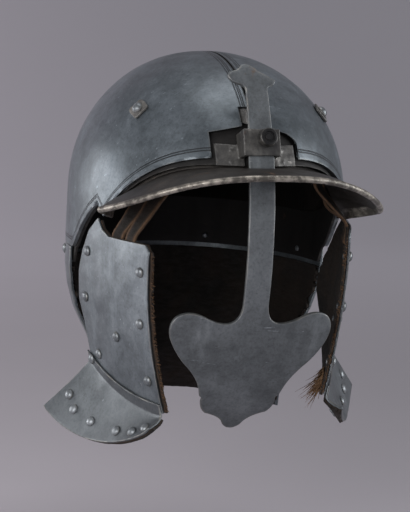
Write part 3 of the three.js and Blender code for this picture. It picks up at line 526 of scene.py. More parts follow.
# The quilted lining: sewn channels run up to the crown
def lining_cap(material):
    azimuths = np.arange(-180, 180, LINING_STEP)

    def low(azimuth):
        return np.maximum(inner_rim_height(azimuth), REAR_HEIGHT) + LINING_RIM_GAP

    def soft_low(azimuth):
        return np.mean([low(azimuth + s) for s in np.linspace(-LINING_EASE, LINING_EASE, 13)], axis=0)

    outer = dome_grid(azimuths, INNER_ROWS, LINING_OUTSIDE, soft_low)
    inner = dome_grid(azimuths, INNER_ROWS, LINING_OUTSIDE + LINING_THICK, soft_low)
    channel = np.abs(np.cos(np.radians(azimuths * LINING_CHANNELS / 2)))[:, None, None]
    rows = np.linspace(0, 1, INNER_ROWS + 1)[None, :, None]
    fade = np.minimum(1, 8 * rows) * (1 - rows)
    puff = LINING_PUFF * (1 - channel ** 8) * fade
    outward = unit(inner * np.array((1, 1, 0.8)) + 1e-9)
    inner = inner + outward * (LINING_PUFF * fade - puff)
    obj = tidy(shell("lining_dressed", outer, inner, wrapped=True), bevel=0.0006)
    return wear(obj, material, "skull", "lining_cap", slot="textile")


# Peak

def peak_sections(share):
    azimuth = BRIM_END_ANGLE * share
    inset = INNER_INSIDE + BRIM_GAP + PEAK_THICK / 2
    low = inner_rim_height(azimuth)
    root = skull_points(azimuth, low - BRIM_ROOT_DROP, inset)
    flange = skull_points(azimuth, low + BRIM_FLANGE, inset)
    sweep = np.radians(90 * share)
    x = BRIM_HALF_WIDTH * np.sin(sweep)
    y = -BRIM_CENTRE_DEPTH - (BRIM_REACH - BRIM_CENTRE_DEPTH) * np.cos(sweep)
    z = BRIM_FRONT_HEIGHT - BRIM_SIDE_DROP * np.abs(np.sin(sweep)) ** BRIM_DROP_POWER
    edge = vec(x, y, z)
    tuck = np.clip((np.abs(share) - 0.9) / 0.1, 0, 1)[:, None]
    temple = skull_points(azimuth, np.full_like(share, BRIM_TIP_HEIGHT), -BRIM_BEAD)
    return root, flange, lerp(edge, temple, tuck)


# The rolled edge is worn flat in places and nicked
def peak(material):
    share = np.linspace(-1, 1, BRIM_STEPS + 1)
    root, flange, edge = peak_sections(share)
    outward = unit((edge - root) * np.array((1, 1, 0)))
    up = np.array((0, 0, 1.0))
    half = PEAK_THICK / 2
    span = np.sum((edge - root) * outward, axis=1)[:, None]
    run = np.concatenate([[0], np.cumsum(np.linalg.norm(np.diff(edge, axis=0), axis=1))])

    def along(t):
        return lerp(root, edge, t) + up * (BRIM_CROWN * 4 * t * (1 - t))

    stop = 1 - BRIM_BEAD / span
    rows = [flange + outward * half, flange - outward * half, root - outward * half - up * half]
    rows += [along(stop * t) - up * half for t in np.linspace(0.08, 1, BRIM_ROWS)]
    for turn in np.linspace(-140, 140, 13):
        angle = math.radians(turn)
        dents = np.array([noise.noise(Vector((s / DENT_SIZE, angle * 0.6, 0))) for s in run])
        nicks = np.array([noise.noise(Vector((s / NICK_SIZE, angle * 0.8, 9))) for s in run])
        worn = 0.97 - 0.1 * np.clip(dents, 0, 1) - 0.22 * np.clip(nicks - 0.25, 0, 1)
        rows.append(edge + (outward * math.cos(angle) + up * math.sin(angle)) * BRIM_BEAD * worn[:, None])
    rows += [along(stop * t) + up * half for t in np.linspace(1, 0.08, BRIM_ROWS)]
    rows.append(root + outward * half + up * half)
    grid = np.stack(rows, axis=1) + AT_LEVEL
    sections, count = grid.shape[:2]
    faces = ring_faces(sections, count)
    faces += [tuple(range(count)), tuple(range((sections - 1) * count, sections * count))]
    obj = tidy(new_object("peak_dressed", grid.reshape(-1, 3), faces), sharp=50)
    cut(obj, [bar_passage(2 * CLEAR, 2 * CLEAR)])
    tidy(obj, sharp=50)
    flat = np.array((1, 1, 0))
    brink = nearest(coordinates(obj) * flat, edge * flat)
    store(obj, "edge", np.maximum(brink - BRIM_BEAD, 0))
    return wear(obj, material, "skull", "peak", slot="worn_steel")


# Neck guard

def neck_points(u, v):
    height = lerp(NECK_TOP, NECK_BOTTOM, v)
    front = lerp(NECK_FRONT_ANGLE, NECK_LOWER_ANGLE, np.clip(v, 0, 1) ** 2)
    azimuth = lerp(front, 360 - front, u)
    inset = NECK_SKIN_INSET + NECK_WAIST_INSET * shares(NECK_INSETS, v)
    point = skull_points(azimuth, height, inset)
    kick = NECK_FLARE * np.clip((v - 0.7) / 0.3, 0, 1) ** 2
    rearward = np.maximum(-np.cos(np.radians(azimuth)), 0)
    return point + vec(0, kick * rearward, 0)


def surface_normal(surface, u, v, nudge):
    return unit(np.cross(surface(u, v + nudge) - surface(u, v - nudge),
                         surface(u + nudge, v) - surface(u - nudge, v)))


# A plate between two offsets from a surface of u and v, with the distance to its border kept on it
def plate(name, surface, u_range, v_range, steps, offsets, bevel=0.0005, ragged=None):
    u, v = np.meshgrid(np.linspace(*u_range, steps[0] + 1), np.linspace(*v_range, steps[1] + 1), indexing="ij")
    if ragged:
        u, v = ragged(u, v)
    normal = surface_normal(surface, u, v, PLATE_NUDGE)
    middle = surface(u, v)
    outer = middle + normal * offsets[0]
    inner = middle + normal * offsets[1]
    obj = tidy(shell(name, outer, inner), bevel=bevel, sharp=50)
    border = np.concatenate([middle[0], middle[-1], middle[:, 0], middle[:, -1]]) + AT_LEVEL
    store(obj, "edge", nearest(coordinates(obj), border))
    return obj


def neck_guard(material):
    obj = plate("neck_guard_dressed", neck_points, (0, 1), (0, 1), (120, 60), (0, -NECK_THICK))
    roughen(obj, 0.0005, 0.05, seed=4)
    return wear(obj, material, "skull", "neck_guard", slot="steel")


# A brown leather lines the guard and shows along its lower edge; its material is darkened as painted shade of the
# helmet's inside
def neck_lining(material):
    outer = -NECK_THICK - CLEAR
    obj = plate("neck_lining_dressed", neck_points, (0.004, 0.996), (1 / 8, 1), (170, 60),
                (outer, outer - LEATHER_THICK), bevel=0.0003, ragged=frayed(0.03, 0.06, 8))
    roughen(obj, 0.0004, 0.01, seed=6)
    return wear(obj, material, "skull", "neck_lining", slot="leather")


# Nasal

def nasal_points(across, angle, outward):
    beyond = np.maximum(np.abs(across) - BAR_HALF, 0)
    reach = NASAL_RADIUS + outward - beyond ** 2 / (2 * WING_RADIUS)
    hinge = NASAL_RADIUS - NASAL_FRONT
    return vec(across, hinge - reach * np.cos(angle), NASAL_CENTRE + reach * np.sin(angle))


def arc_angle(height):
    return np.arcsin((height - NASAL_CENTRE) / NASAL_RADIUS)


# The way through the peak that the bar takes along its arc, as a tool that cuts
def bar_passage(slack, inward):
    angles = np.linspace(arc_angle(-0.03), arc_angle(FINIAL_TOP), 40)
    across = np.array((-1, 1))[:, None] * (BAR_HALF + slack)
    outer = nasal_points(across, angles, BAR_THICK / 2 + slack)
    return tidy(shell("bar_passage", outer, nasal_points(across, angles, -BAR_THICK / 2 - inward)))


# The outline of the nasal, all round from the top of the finial: each step has a bend and an end
def nasal_outline():
    top = GUARD_TIP + GUARD_RISE
    rise = FINIAL_TOP - FINIAL_BASE

    def guard(x, z):
        return np.array((GUARD_HALF * x, lerp(GUARD_TIP, top, z)))

    def finial(x, z):
        return np.array((FINIAL_HALF * x, FINIAL_BASE + rise * z))

    bar_top = np.array((BAR_TOP_HALF, FINIAL_BASE + rise * FINIAL_NECK))
    half = [
        (None, np.array((BAR_HALF, BROW_HEIGHT))), (None, np.array((BAR_HALF, guard(0, 1.04)[1]))),
        (guard(0.16, 0.885), guard(0.34, 0.885)), (guard(0.44, 0.885), guard(0.56, 0.92)),
        (guard(0.78, 1.0), guard(0.93, 0.93)), (guard(1.03, 0.86), guard(0.97, 0.75)),
        (guard(0.9, 0.64), guard(0.74, 0.54)), (guard(0.54, 0.42), guard(0.5, 0.29)),
        (None, guard(0.46, 0.27)), (guard(0.48, 0.18), guard(0.38, 0.14)),
        (guard(0.3, 0.13), guard(0.22, 0.105)), (guard(0.15, 0.08), guard(0.12, 0.04)),
        (guard(0.07, 0), guard(0, 0)),
    ]
    flip = np.array((-1, 1))
    ends = [bar_top] + [end for _, end in half]
    steps = [(finial(*bend), finial(*end)) for bend, end in FINIAL_POINT]
    steps.append((finial(0.4, -0.02), bar_top))
    steps += half
    for k in reversed(range(len(half))):
        bend = half[k][0]
        steps.append((None if bend is None else bend * flip, ends[k] * flip))
    steps += [(finial(*bend), finial(*end)) for bend, end in FINIAL_LOBE]
    points = [finial(*FINIAL_PEAK)]
    for bend, end in steps:
        start = points[-1]
        length = np.linalg.norm(end - start)
        count = max(2, int(length / OUTLINE_STEP))
        for k in range(1, count + 1):
            t = k / count
            points.append(lerp(start, end, t) if bend is None else bezier(start, bend, end, t))
    return np.array(points[:-1])


def inside(outline, places):
    x, z = places[:, 0], places[:, 1]
    hits = np.zeros(len(places), bool)
    ends = np.roll(outline, -1, axis=0)
    for (x0, z0), (x1, z1) in zip(outline, ends):
        if z0 == z1:
            continue
        crosses = (z0 > z) != (z1 > z)
        hits ^= crosses & (x < (x1 - x0) * (z - z0) / (z1 - z0) + x0)
    return hits


def distance_to(outline, places):
    near = np.full(len(places), 1.0)
    ends = np.roll(outline, -1, axis=0)
    for start, end in zip(outline, ends):
        line = end - start
        share = np.clip(((places - start) @ line) / (line @ line), 0, 1)
        near = np.minimum(near, np.linalg.norm(places - start - share[:, None] * line, axis=1))
    return near


def nasal(material):
    outline = nasal_outline()
    xs = np.arange(-GUARD_HALF, GUARD_HALF, NET_STEP)
    zs = np.arange(GUARD_TIP, FINIAL_TOP, NET_STEP)
    net = np.stack(np.meshgrid(xs, zs), axis=-1).reshape(-1, 2)
    net = net[inside(outline, net)]
    net = net[distance_to(outline, net) > NET_STEP * 0.6]
    flat = np.concatenate([outline, net])
    count = len(outline)
    loop = [(k, (k + 1) % count) for k in range(count)]
    points, _, triangles, _, _, _ = delaunay_2d_cdt([Vector(p) for p in flat], loop, [], 1, 1e-6)
    points = np.array([tuple(p) for p in points])
    size = len(points)
    faces = [tuple(t) for t in triangles] + [tuple(size + k for k in reversed(t)) for t in triangles]
    faces += [(a, b, b + size, a + size) for a, b in loop]
    angle = arc_angle(points[:, 1])
    half = BAR_THICK / 2
    solid = np.concatenate([nasal_points(points[:, 0], angle, half), nasal_points(points[:, 0], angle, -half)])
    obj = tidy(new_object("nasal_dressed", solid + AT_LEVEL, faces), bevel=0.0007, sharp=50)
    places = coordinates(obj)
    store(obj, "edge", distance_to(outline, np.stack([places[:, 0], places[:, 2] - LEVEL], axis=1)))
    roughen(obj, 0.00025, 0.03, seed=9)
    return wear(obj, material, "nasal", "nasal", slot="steel")


# Cheekpieces. The right one hangs lower on its leathers.

def cheek_width(depth, height):
    share = (depth - CHEEK_REAR_DEPTH) / (CHEEK_FRONT_DEPTH - CHEEK_REAR_DEPTH)
    plan = lerp(CHEEK_REAR_WIDTH, CHEEK_FRONT_WIDTH, share) + 4 * CHEEK_BULGE * share * (1 - share)
    down = (CHEEK_TOP - height) / (CHEEK_TOP - CHEEK_BOTTOM_FRONT)
    return plan - CHEEK_LEAN * np.maximum(down, 0) ** CHEEK_LEAN_POWER


def own_height(side):
    return side * CHEEK_SAG / 2


def cheek_surface(side):
    def surface(u, v):
        length = CHEEK_FRONT_DEPTH - CHEEK_REAR_DEPTH
        front = CHEEK_FRONT_DEPTH - length * shares(CHEEK_FRONT, v)
        rear = CHEEK_REAR_DEPTH + length * shares(CHEEK_REAR, v)
        depth = lerp(front, rear, u)
        tip = CHEEK_TIP - own_height(side)
        cut_off = CHEEK_CORNER_DROP * np.clip(1 - u / CHEEK_CORNER, 0, 1)
        top = lerp(CHEEK_TOP, tip, shares(CHEEK_TOP_LINE, u)) - cut_off
        bottom = lerp(CHEEK_BOTTOM_FRONT, CHEEK_BOTTOM_REAR, np.clip(u, 0, 1) ** 2)
        height = lerp(top, bottom, v)
        return vec(cheek_width(depth, height), -depth, height)
    return surface


def flare_edge(u):
    front, rear = np.array(FLARE_FRONT), np.array(FLARE_REAR)
    x, y, z = (lerp(front[k], rear[k], u) for k in range(3))
    return vec(x, -y, z - FLARE_SWEEP * np.sin(np.pi * np.clip(u, 0, 1)) ** 0.7)


def offset_point(surface, u, v, offset):
    normal = surface_normal(surface, u, v, SPOT_NUDGE)
    return surface(u, v) + normal * offset, normal


def flare_surface(side):
    cheek = cheek_surface(side)

    def surface(u, v):
        gap = CHEEK_THICK + CLEAR
        height = CHEEK_TOP - CHEEK_BOTTOM_FRONT
        one = np.ones_like(u)
        upper = offset_point(cheek, u, one * (1 - FLARE_OVERLAP / height), gap)[0]
        crease = offset_point(cheek, u, one, gap)[0]
        turn = lerp(crease, upper, -FLARE_TURN / FLARE_OVERLAP)
        outer = flare_edge(u)
        v = np.asarray(v)[..., None]
        share = (v - FLARE_BEND) / (1 - FLARE_BEND)
        return np.where(v <= FLARE_BEND, lerp(upper, crease, v / FLARE_BEND), bezier(crease, turn, outer, share))
    return surface


# A point or a grid of the left side, put on its own side and at its own height
def sided(side, points):
    return points * np.array((side, 1, 1)) + np.array((0, 0, own_height(side))) + AT_LEVEL


def mirrored(obj, side, rise=0.0):
    places = coordinates(obj) * np.array((side, 1, 1)) + np.array((0, 0, rise))
    obj.data.vertices.foreach_set("co", places.astype(np.float32).reshape(-1))
    if side < 0:
        obj.data.flip_normals()
    obj.data.update()
    return obj


# The leather has shrunk and frayed: its border wanders in and out
def frayed(depth, size, seed):
    def wander(u, v, scale, layer):
        return np.array([[noise.noise(Vector((a / scale, b / scale, layer))) for a, b in zip(*row)]
                         for row in zip(u, v)])

    def ragged(u, v):
        centre = (u.min() + u.max()) / 2
        near = np.abs(u - centre) / (u.max() - centre)
        pull = depth * (0.6 * wander(u, v, size, seed) + 0.4 * wander(u, v, size / 4, seed + 5)) * near ** 6
        return u + pull * np.sign(u - centre), v
    return ragged


# Short torn fibres along the edge of a leather, one mesh for each leather
def fibres(name, surface, offset, edge_u, material, body, side):
    rnd = random.Random(FRINGE_SEED + side)
    points, faces = [], []
    sides = FIBRE_SIDES
    down = np.array((0, 0, -1.0))
    for _ in range(FRINGE_COUNT):
        v = np.array(rnd.uniform(*FRINGE_PLACES))
        root, normal = offset_point(surface, np.array(edge_u), v, offset - rnd.uniform(0, 0.0022))
        out = unit(offset_point(surface, np.array(edge_u - 0.02), v, offset)[0] - root)
        length = rnd.uniform(*FRINGE_LENGTHS)
        lean = down * rnd.uniform(-0.4, 0.9) + normal * rnd.uniform(-0.6, 0.3)
        tip = root + out * length + lean * length * 0.8
        middle = lerp(root, tip, 0.5) + normal * rnd.uniform(-0.0004, 0.0004)
        wide = rnd.uniform(*FRINGE_WIDTHS)
        start = len(points)
        for centre, radius in ((root - out * 0.0012, wide), (middle, wide * 0.7)):
            for k in range(sides):
                angle = 2 * math.pi * k / sides
                points.append(centre + down * radius * math.cos(angle) + normal * radius * math.sin(angle))
        end = len(points)
        points.append(tip)
        faces += ring_faces(2, sides, start) + [(start + 2, start + 1, start)]
        faces += [(end - sides + k, end - sides + (k + 1) % sides, end) for k in range(sides)]
    obj = tidy(new_object(name, sided(side, np.array(points)), faces))
    return wear(obj, material, body, slot="leather")


# A tuft of torn leather hangs from the lower front corner of the left cheekpiece's lining
def tuft(name, side, material, body):
    rnd = random.Random(TUFT_SEED)
    surface = cheek_surface(side)
    points, faces = [], []
    behind = CHEEK_THICK + CLEAR + LEATHER_THICK + 0.0008
    sides, rings = FIBRE_SIDES, 5
    for _ in range(TUFT_COUNT):
        u, v = [np.array(rnd.uniform(*places)) for places in TUFT_PLACES]
        root, normal = offset_point(surface, u, v, -behind)
        lean = np.array((rnd.uniform(-0.2, 0.3), rnd.uniform(-0.35, 0.35), 0))
        ahead = unit(-normal * rnd.uniform(0.3, 1.1) + np.array((0, 0, -1.0)) + lean)
        curl = unit(np.array((rnd.uniform(-1, 0.2), rnd.uniform(-1, 1), rnd.uniform(-1, 0.3))))
        length, wide = rnd.uniform(*TUFT_LENGTHS), rnd.uniform(*TUFT_WIDTHS)
        start = len(points)
        for t in np.linspace(0, 1, rings):
            centre = root + ahead * length * t + curl * length * 0.35 * t * t
            for k in range(sides):
                angle = 2 * math.pi * k / sides
                spoke = np.array((math.cos(angle), math.sin(angle), 0)) * wide * (1 - 0.85 * t)
                points.append(centre + spoke)
        end = len(points) - sides
        faces += ring_faces(rings, sides, start)
        faces += [(start + 2, start + 1, start), (end, end + 1, end + 2)]
    obj = tidy(new_object(name, sided(side, np.array(points)), faces))
    return wear(obj, material, body, slot="leather")


# The old lining has come away from the rear half of its plate and sags inward
def loosened(surface):
    def sagging(u, v):
        share = np.clip((u - SAG_START) / (1 - SAG_START), 0, 1) ** 2 * np.sin(np.pi * np.clip(v, 0, 1))
        folds = 1 + 0.12 * np.sin(u * 23 + v * 9)
        return surface(u, v) + vec(-LINING_SAG * share * folds, 0 * u, 0 * u)
    return sagging


def cheekpiece(tag, side, steel, flare_shade_steel, leather, head):
    body = "cheek_" + tag
    cheek, flare = cheek_surface(side), flare_surface(side)
    margin = CHEEK_MARGIN / (CHEEK_FRONT_DEPTH - CHEEK_REAR_DEPTH)
    behind = CHEEK_THICK + CLEAR

    def sheet(name, surface, u_range, v_range, steps, material, slot, skin, thick, rough, grain, seed,
              **more):
        obj = plate(f"{name}_dressed_{tag}", surface, u_range, v_range, steps, (-skin, -skin - thick), **more)
        roughen(mirrored(obj, side, own_height(side)), rough, grain, seed=side + seed)
        wear(obj, material, body, f"{name}_{tag}", slot=slot)

    def lining(name, surface, u_range, v_range, steps, seed, fray, fray_seed):
        sheet(name, surface, u_range, v_range, steps, leather, "leather", behind, LEATHER_THICK, 0.0003, 0.008,
              seed, bevel=0.0003, ragged=frayed(fray, 0.06, side + fray_seed))

    sheet("cheek_plate", cheek, (0, 1), (0, 1), (60, 72), steel, "steel", 0, CHEEK_THICK, 0.0005, 0.04, 2)
    sheet("cheek_flare", flare, (0, 1), (0, 1), (72, 44), flare_shade_steel, "steel", 0, CHEEK_THICK, 0.0005, 0.035, 5)
    lining("cheek_lining", loosened(cheek), (-margin, 1 - margin), (0, 1), (56, 90), 0, 0.022, 1)
    lining("flare_lining", flare, (0, 1), (FLARE_LINING_TOP, 1), (72, 24), 7, 0.012, 3)
    fibres("cheek_fringe_" + tag, cheek, -behind, -margin, leather, body, side)
    for prefix, surface, table in (("cheek_rivet", cheek, CHEEK_RIVETS), ("flare_rivet", flare, FLARE_RIVETS)):
        for k, (u, v) in enumerate(table, start=1):
            point, normal = offset_point(surface, np.array(u), np.array(v), 0)
            name = f"{prefix}_{tag}_{k}"
            rivet(name + "_dressed", sided(side, point), normal * np.array((side, 1, 1)), behind + LEATHER_THICK,
                  head, body, name)


# Turned pieces. The profile, of radii and heights, starts and ends on the axis.

def lathe(name, profile, sides, spot, normal, sharp, edge_radius, swell=None):
    points = []
    for r, z in profile[1:-1]:
        for k in range(sides):
            angle = 2 * math.pi * k / sides
            out = r * swell(angle) if swell else r
            points.append((out * math.cos(angle), out * math.sin(angle), z))
    first = len(points)
    points += [(0, 0, profile[0][1]), (0, 0, profile[-1][1])]
    faces = ring_faces(len(profile) - 2, sides)
    for k in range(sides):
        near = (k + 1) % sides
        faces += [(first, k, near), (first + 1, first - sides + near, first - sides + k)]
    obj = new_object(name, points, faces)
    turn = Vector((0, 0, 1)).rotation_difference(Vector(normal)).to_matrix().to_4x4()
    obj.data.transform(Matrix.Translation(Vector(spot)) @ turn)
    tidy(obj, sharp=sharp)
    reach = np.linalg.norm(np.cross(coordinates(obj) - np.array(spot), np.array(normal)), axis=1)
    store(obj, "edge", np.maximum(edge_radius - reach, 0))
    return obj


# A rivet: a low hammered dome with a worn rim, a shank, and a flattened tail inside
def rivet(name, spot, normal, stack, material, body, *nodes, radius=RIVET_RADIUS, rise=RIVET_RISE, tail=True):
    rnd = random.Random(name)
    profile = [(radius * r, RIVET_SEAT + rise * z) for r, z in RIVET_DOME]
    profile += [(RIVET_SHANK, 0), (RIVET_SHANK, -stack)]
    if tail:
        profile += [(r, -stack - z) for r, z in RIVET_TAIL]
    profile.append((0, profile[-1][1]))
    second, third, *_ = [rnd.uniform(-RIVET_WOBBLE, RIVET_WOBBLE) for _ in range(4)]
    phase = rnd.uniform(0, 6)

    def swell(angle):
        return 1 + second * math.cos(2 * angle + phase) + third * math.cos(3 * angle)

    obj = lathe(name, profile, RIVET_SIDES, spot, normal, 60, radius * 1.02, swell)
    return wear(obj, material, body, *nodes, slot="rivet")


def skull_spot(azimuth, height, inset):
    a, h = np.array(float(azimuth)), np.array(float(height))
    nudge = 0.001
    across = skull_points(a + 0.2, h, inset) - skull_points(a - 0.2, h, inset)
    rise = skull_points(a, h + nudge, inset) - skull_points(a, h - nudge, inset)
    normal = unit(np.cross(across, rise))
    point = skull_points(a, h, inset)
    if np.dot(normal[:2], point[:2]) < 0:
        normal = -normal
    return point + AT_LEVEL, normal


def plain_rivets(material):
    for k, azimuth in enumerate(NECK_RIVETS, start=1):
        spot, normal = skull_spot(azimuth, (NECK_TOP + INNER_REAR_HEIGHT) / 2, NECK_SKIN_INSET)
        rivet(f"neck_rivet_{k}", spot, normal, INNER_INSIDE, material, "skull")
    for k, share in enumerate(PEAK_RIVETS, start=1):
        azimuth = BRIM_END_ANGLE * share
        height = float(inner_rim_height(azimuth)) + BRIM_FLANGE / 2
        spot, normal = skull_spot(azimuth, height, INNER_INSIDE + BRIM_GAP + PEAK_THICK)
        rivet(f"peak_rivet_{k}", spot, -normal, PEAK_THICK + BRIM_GAP, material, "skull", tail=False)


# Forged pieces: the part's own solid, with soft hammered edges

def forged(name, node, voxel, amount, size, material, slot, seed=0.0):
    obj = linked(bpy.data.objects.new(name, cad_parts[node].data.copy()))
    remesh = obj.modifiers.new("forge", "REMESH")
    remesh.mode = "VOXEL"
    remesh.voxel_size = voxel
    relax = obj.modifiers.new("relax", "CORRECTIVE_SMOOTH")
    relax.iterations = 4
    relax.use_only_smooth = True
    obj.data = bpy.data.meshes.new_from_object(obj.evaluated_get(bpy.context.evaluated_depsgraph_get()))
    obj.modifiers.clear()
    tidy(obj, sharp=70)
    roughen(obj, amount, size, seed)
    return wear(obj, material, "skull", node, slot=slot)


def clamp_screw(material):
    angle = float(arc_angle(SCREW_HEIGHT))
    normal = np.array((0, -math.cos(angle), math.sin(angle)))
    base = nasal_points(np.array(SCREW_SIDE), np.array(angle), BAR_THICK / 2) + AT_LEVEL
    profile = [(SCREW_RADIUS * r, SCREW_UNDER + SCREW_RISE * z) for r, z in SCREW_HEAD]
    profile += [(SCREW_COLLAR, SCREW_UNDER), (SCREW_SHANK, SCREW_UNDER - (SCREW_COLLAR - SCREW_SHANK))]
    profile += [(SCREW_SHANK, CLEAR), (0, CLEAR)]
    obj = lathe("clamp_screw_dressed", profile, SCREW_SIDES, base, normal, 40, SCREW_RADIUS)
    return wear(obj, material, "clamp_screw", "clamp_screw", slot="worn_steel")


# Hanging leathers: each runs from its rivet inside the skull, over a knee, to the inside of the cheekpiece

def hanging_leather(tag, side, end, azimuth, material):
    spread = math.degrees(STRAP_WIDTH / 2 / SKULL_HALF_DEPTH)
    rim = float(inner_rim_height(azimuth))
    high = rim + STRAP_TOP
    middle = float(inner_rim_height(azimuth + spread)) - STRAP_KNEE
    low = CHEEK_TOP - STRAP_TAIL + own_height(side)
    fold = CHEEK_TOP + STRAP_FOLD + own_height(side)
    inset = STRAP_OUTSIDE + CLEAR

    def surface(u, v):
        turned_to = azimuth + lerp(-spread, spread, u)
        top = skull_points(turned_to, high * np.ones_like(u), inset)
        knee = skull_points(turned_to, middle * np.ones_like(u), inset)
        depth = -knee[..., 1]
        deep = CHEEK_THICK + 2 * CLEAR + LEATHER_THICK
        at_fold = vec(cheek_width(depth, CHEEK_TOP) - CHEEK_THICK - CLEAR, knee[..., 1], fold * np.ones_like(u))
        foot = vec(cheek_width(depth, CHEEK_TOP - STRAP_TAIL) - deep, knee[..., 1], low * np.ones_like(u))
        reach = high - low
        first, second = (high - middle) / reach, (high - fold) / reach
        t = np.clip(v, -0.1, 1.1)[..., None]
        upper = lerp(top, knee, t / first)
        between = lerp(knee, at_fold, (t - first) / (second - first))
        lower = lerp(at_fold, foot, (t - second) / (1 - second))
        return np.where(t < first, upper, np.where(t < second, between, lower))

    def relaxed(u, v):
        smooth = sum(surface(u, np.clip(v + s, 0, 1)) for s in np.linspace(-0.05, 0.05, 7)) / 7
        over = (v - np.clip(v, 0, 1))[..., None] * np.array((0, 0, low - high))
        return smooth + over

    obj = plate(f"hanging_leather_dressed_{tag}_{end}", relaxed, (0, 1), (0, 1), (14, 44),
                (0, -LEATHER_THICK), bevel=0.0003, ragged=frayed(0.06, 0.3, side + azimuth))
    roughen(mirrored(obj, side), 0.0004, 0.01, seed=azimuth)
    node = f"hanging_leather_{tag}_{end}"
    obj.data.materials.append(material)
    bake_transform(obj)
    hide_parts(node)
    return obj


def leather_rivets(tag, side, material):
    for end, azimuth in STRAPS:
        height = float(inner_rim_height(azimuth)) + STRAP_RIVET
        spot, normal = skull_spot(side * azimuth, height, STRAP_OUTSIDE + CLEAR + LEATHER_THICK)
        name = f"leather_rivet_{tag}_{end}"
        rivet(name + "_dressed", spot, -normal, STRAP_OUTSIDE - INNER_SKIN, material, "skull", name,
              radius=0.0038, rise=0.0018, tail=False)


def rosettes(washer, head):
    angle = float(azimuth_of(np.array((ROSETTE_SIDE, -ROSETTE_DEPTH))))
    for tag, side in SIDES:
        forged(f"rosette_washer_dressed_{tag}", f"rosette_washer_{tag}", 0.0004, 0.0005, 0.006, washer,
               "worn_steel", seed=side)
        spot, normal = skull_spot(side * angle, ROSETTE_HEIGHT, 0)
        stack = LINING_OUTSIDE + LINING_THICK + WASHER_HEIGHT + 0.001
        rivet(f"rosette_rivet_dressed_{tag}", spot + normal * WASHER_HEIGHT, normal, stack, head, "skull",
              f"rosette_rivet_{tag}", radius=0.0052, rise=0.004)


# Materials

class Graph:
    def __init__(self, name, **shader):
        self.material = bpy.data.materials.new(name)
        self.material.use_nodes = True
        self.tree = self.material.node_tree
        self.shader = self.tree.nodes["Principled BSDF"]
        for key, value in shader.items():
            self.shader.inputs[key.replace("_", " ")].default_value = value
        self.places = self.node("TexCoord").outputs["Object"]

    def node(self, kind, settings=None, inputs=None):
        made = self.tree.nodes.new("ShaderNode" + kind)
        for key, value in (settings or {}).items():
            setattr(made, key, value)
        for key, value in (inputs or {}).items():
            self.feed(made.inputs[key], value)
        return made

    def feed(self, socket, value):
        if isinstance(value, bpy.types.NodeSocket):
            self.tree.links.new(value, socket)
        else:
            socket.default_value = value

    def noise(self, scale, detail=6.0, rough=0.6, stretch=None, warp=0.0):
        vector = self.places
        if stretch:
            vector = self.node("Mapping", inputs={"Vector": vector, "Scale": stretch}).outputs[0]
        made = self.node("TexNoise", inputs={"Vector": vector, "Scale": scale, "Detail": detail,
                                             "Roughness": rough, "Distortion": warp})
        return made.outputs["Fac"]

    def cells(self, scale):
        return self.node("TexVoronoi", inputs={"Vector": self.places, "Scale": scale}).outputs["Distance"]

    def value(self, operation, a, b=0.0):
        return self.node("Math", {"operation": operation}, {0: a, 1: b}).outputs[0]

    def times(self, a, b):
        return self.value("MULTIPLY", a, b)

    def plus(self, a, b):
        return self.value("ADD", a, b)

    def span(self, value, low, high, to_low=0.0, to_high=1.0):
        inputs = {"Value": value, "From Min": low, "From Max": high, "To Min": to_low, "To Max": to_high}
        return self.node("MapRange", {"interpolation_type": "SMOOTHSTEP"}, inputs).outputs[0]

    def mix(self, share, a, b):
        made = self.node("Mix", {"data_type": "RGBA"}, {0: share, 6: a, 7: b})
        return made.outputs[2]

    def attribute(self, name):
        return self.node("Attribute", {"attribute_name": name}).outputs["Fac"]

    def bump(self, height, distance, strength, under=None):
        made = self.node("Bump", inputs={"Height": height, "Distance": distance, "Strength": strength})
        if under is not None:
            self.feed(made.inputs["Normal"], under)
        return made.outputs[0]

    def set(self, name, value):
        self.feed(self.shader.inputs[name], value)

    def finish(self, colour, roughness, normal):
        self.set("Base Color", colour)
        self.set("Roughness", roughness)
        self.set("Normal", normal)
        return self.material


def rgb(red, green, blue):
    def linear(value):
        value /= 255
        return value / 12.92 if value <= 0.04045 else ((value + 0.055) / 1.055) ** 2.4
    return (linear(red), linear(green), linear(blue), 1.0)


PIT_TONE = (24, 21, 20)
RUST_TONES = ((58, 43, 34), (128, 104, 84))
WORN_TONE = (140, 137, 130)
SEAM_SHADE_TONE = (16, 16, 17)
GROOVE_TONE = (22, 22, 23)

# The incised lines of the outer skull, by their distance from its rim and its seam, and their half widths
GROOVES = (("rim", (0.0062, 0.0082)), ("seam", (0.0038, 0.0054, 0.0075)))
GROOVE_HALF = (0.0002, 0.0007)
SEAM_SHADOW = (0.0006, 0.0022)


def scaled(tone, share):
    return rgb(*[c * share for c in tone])
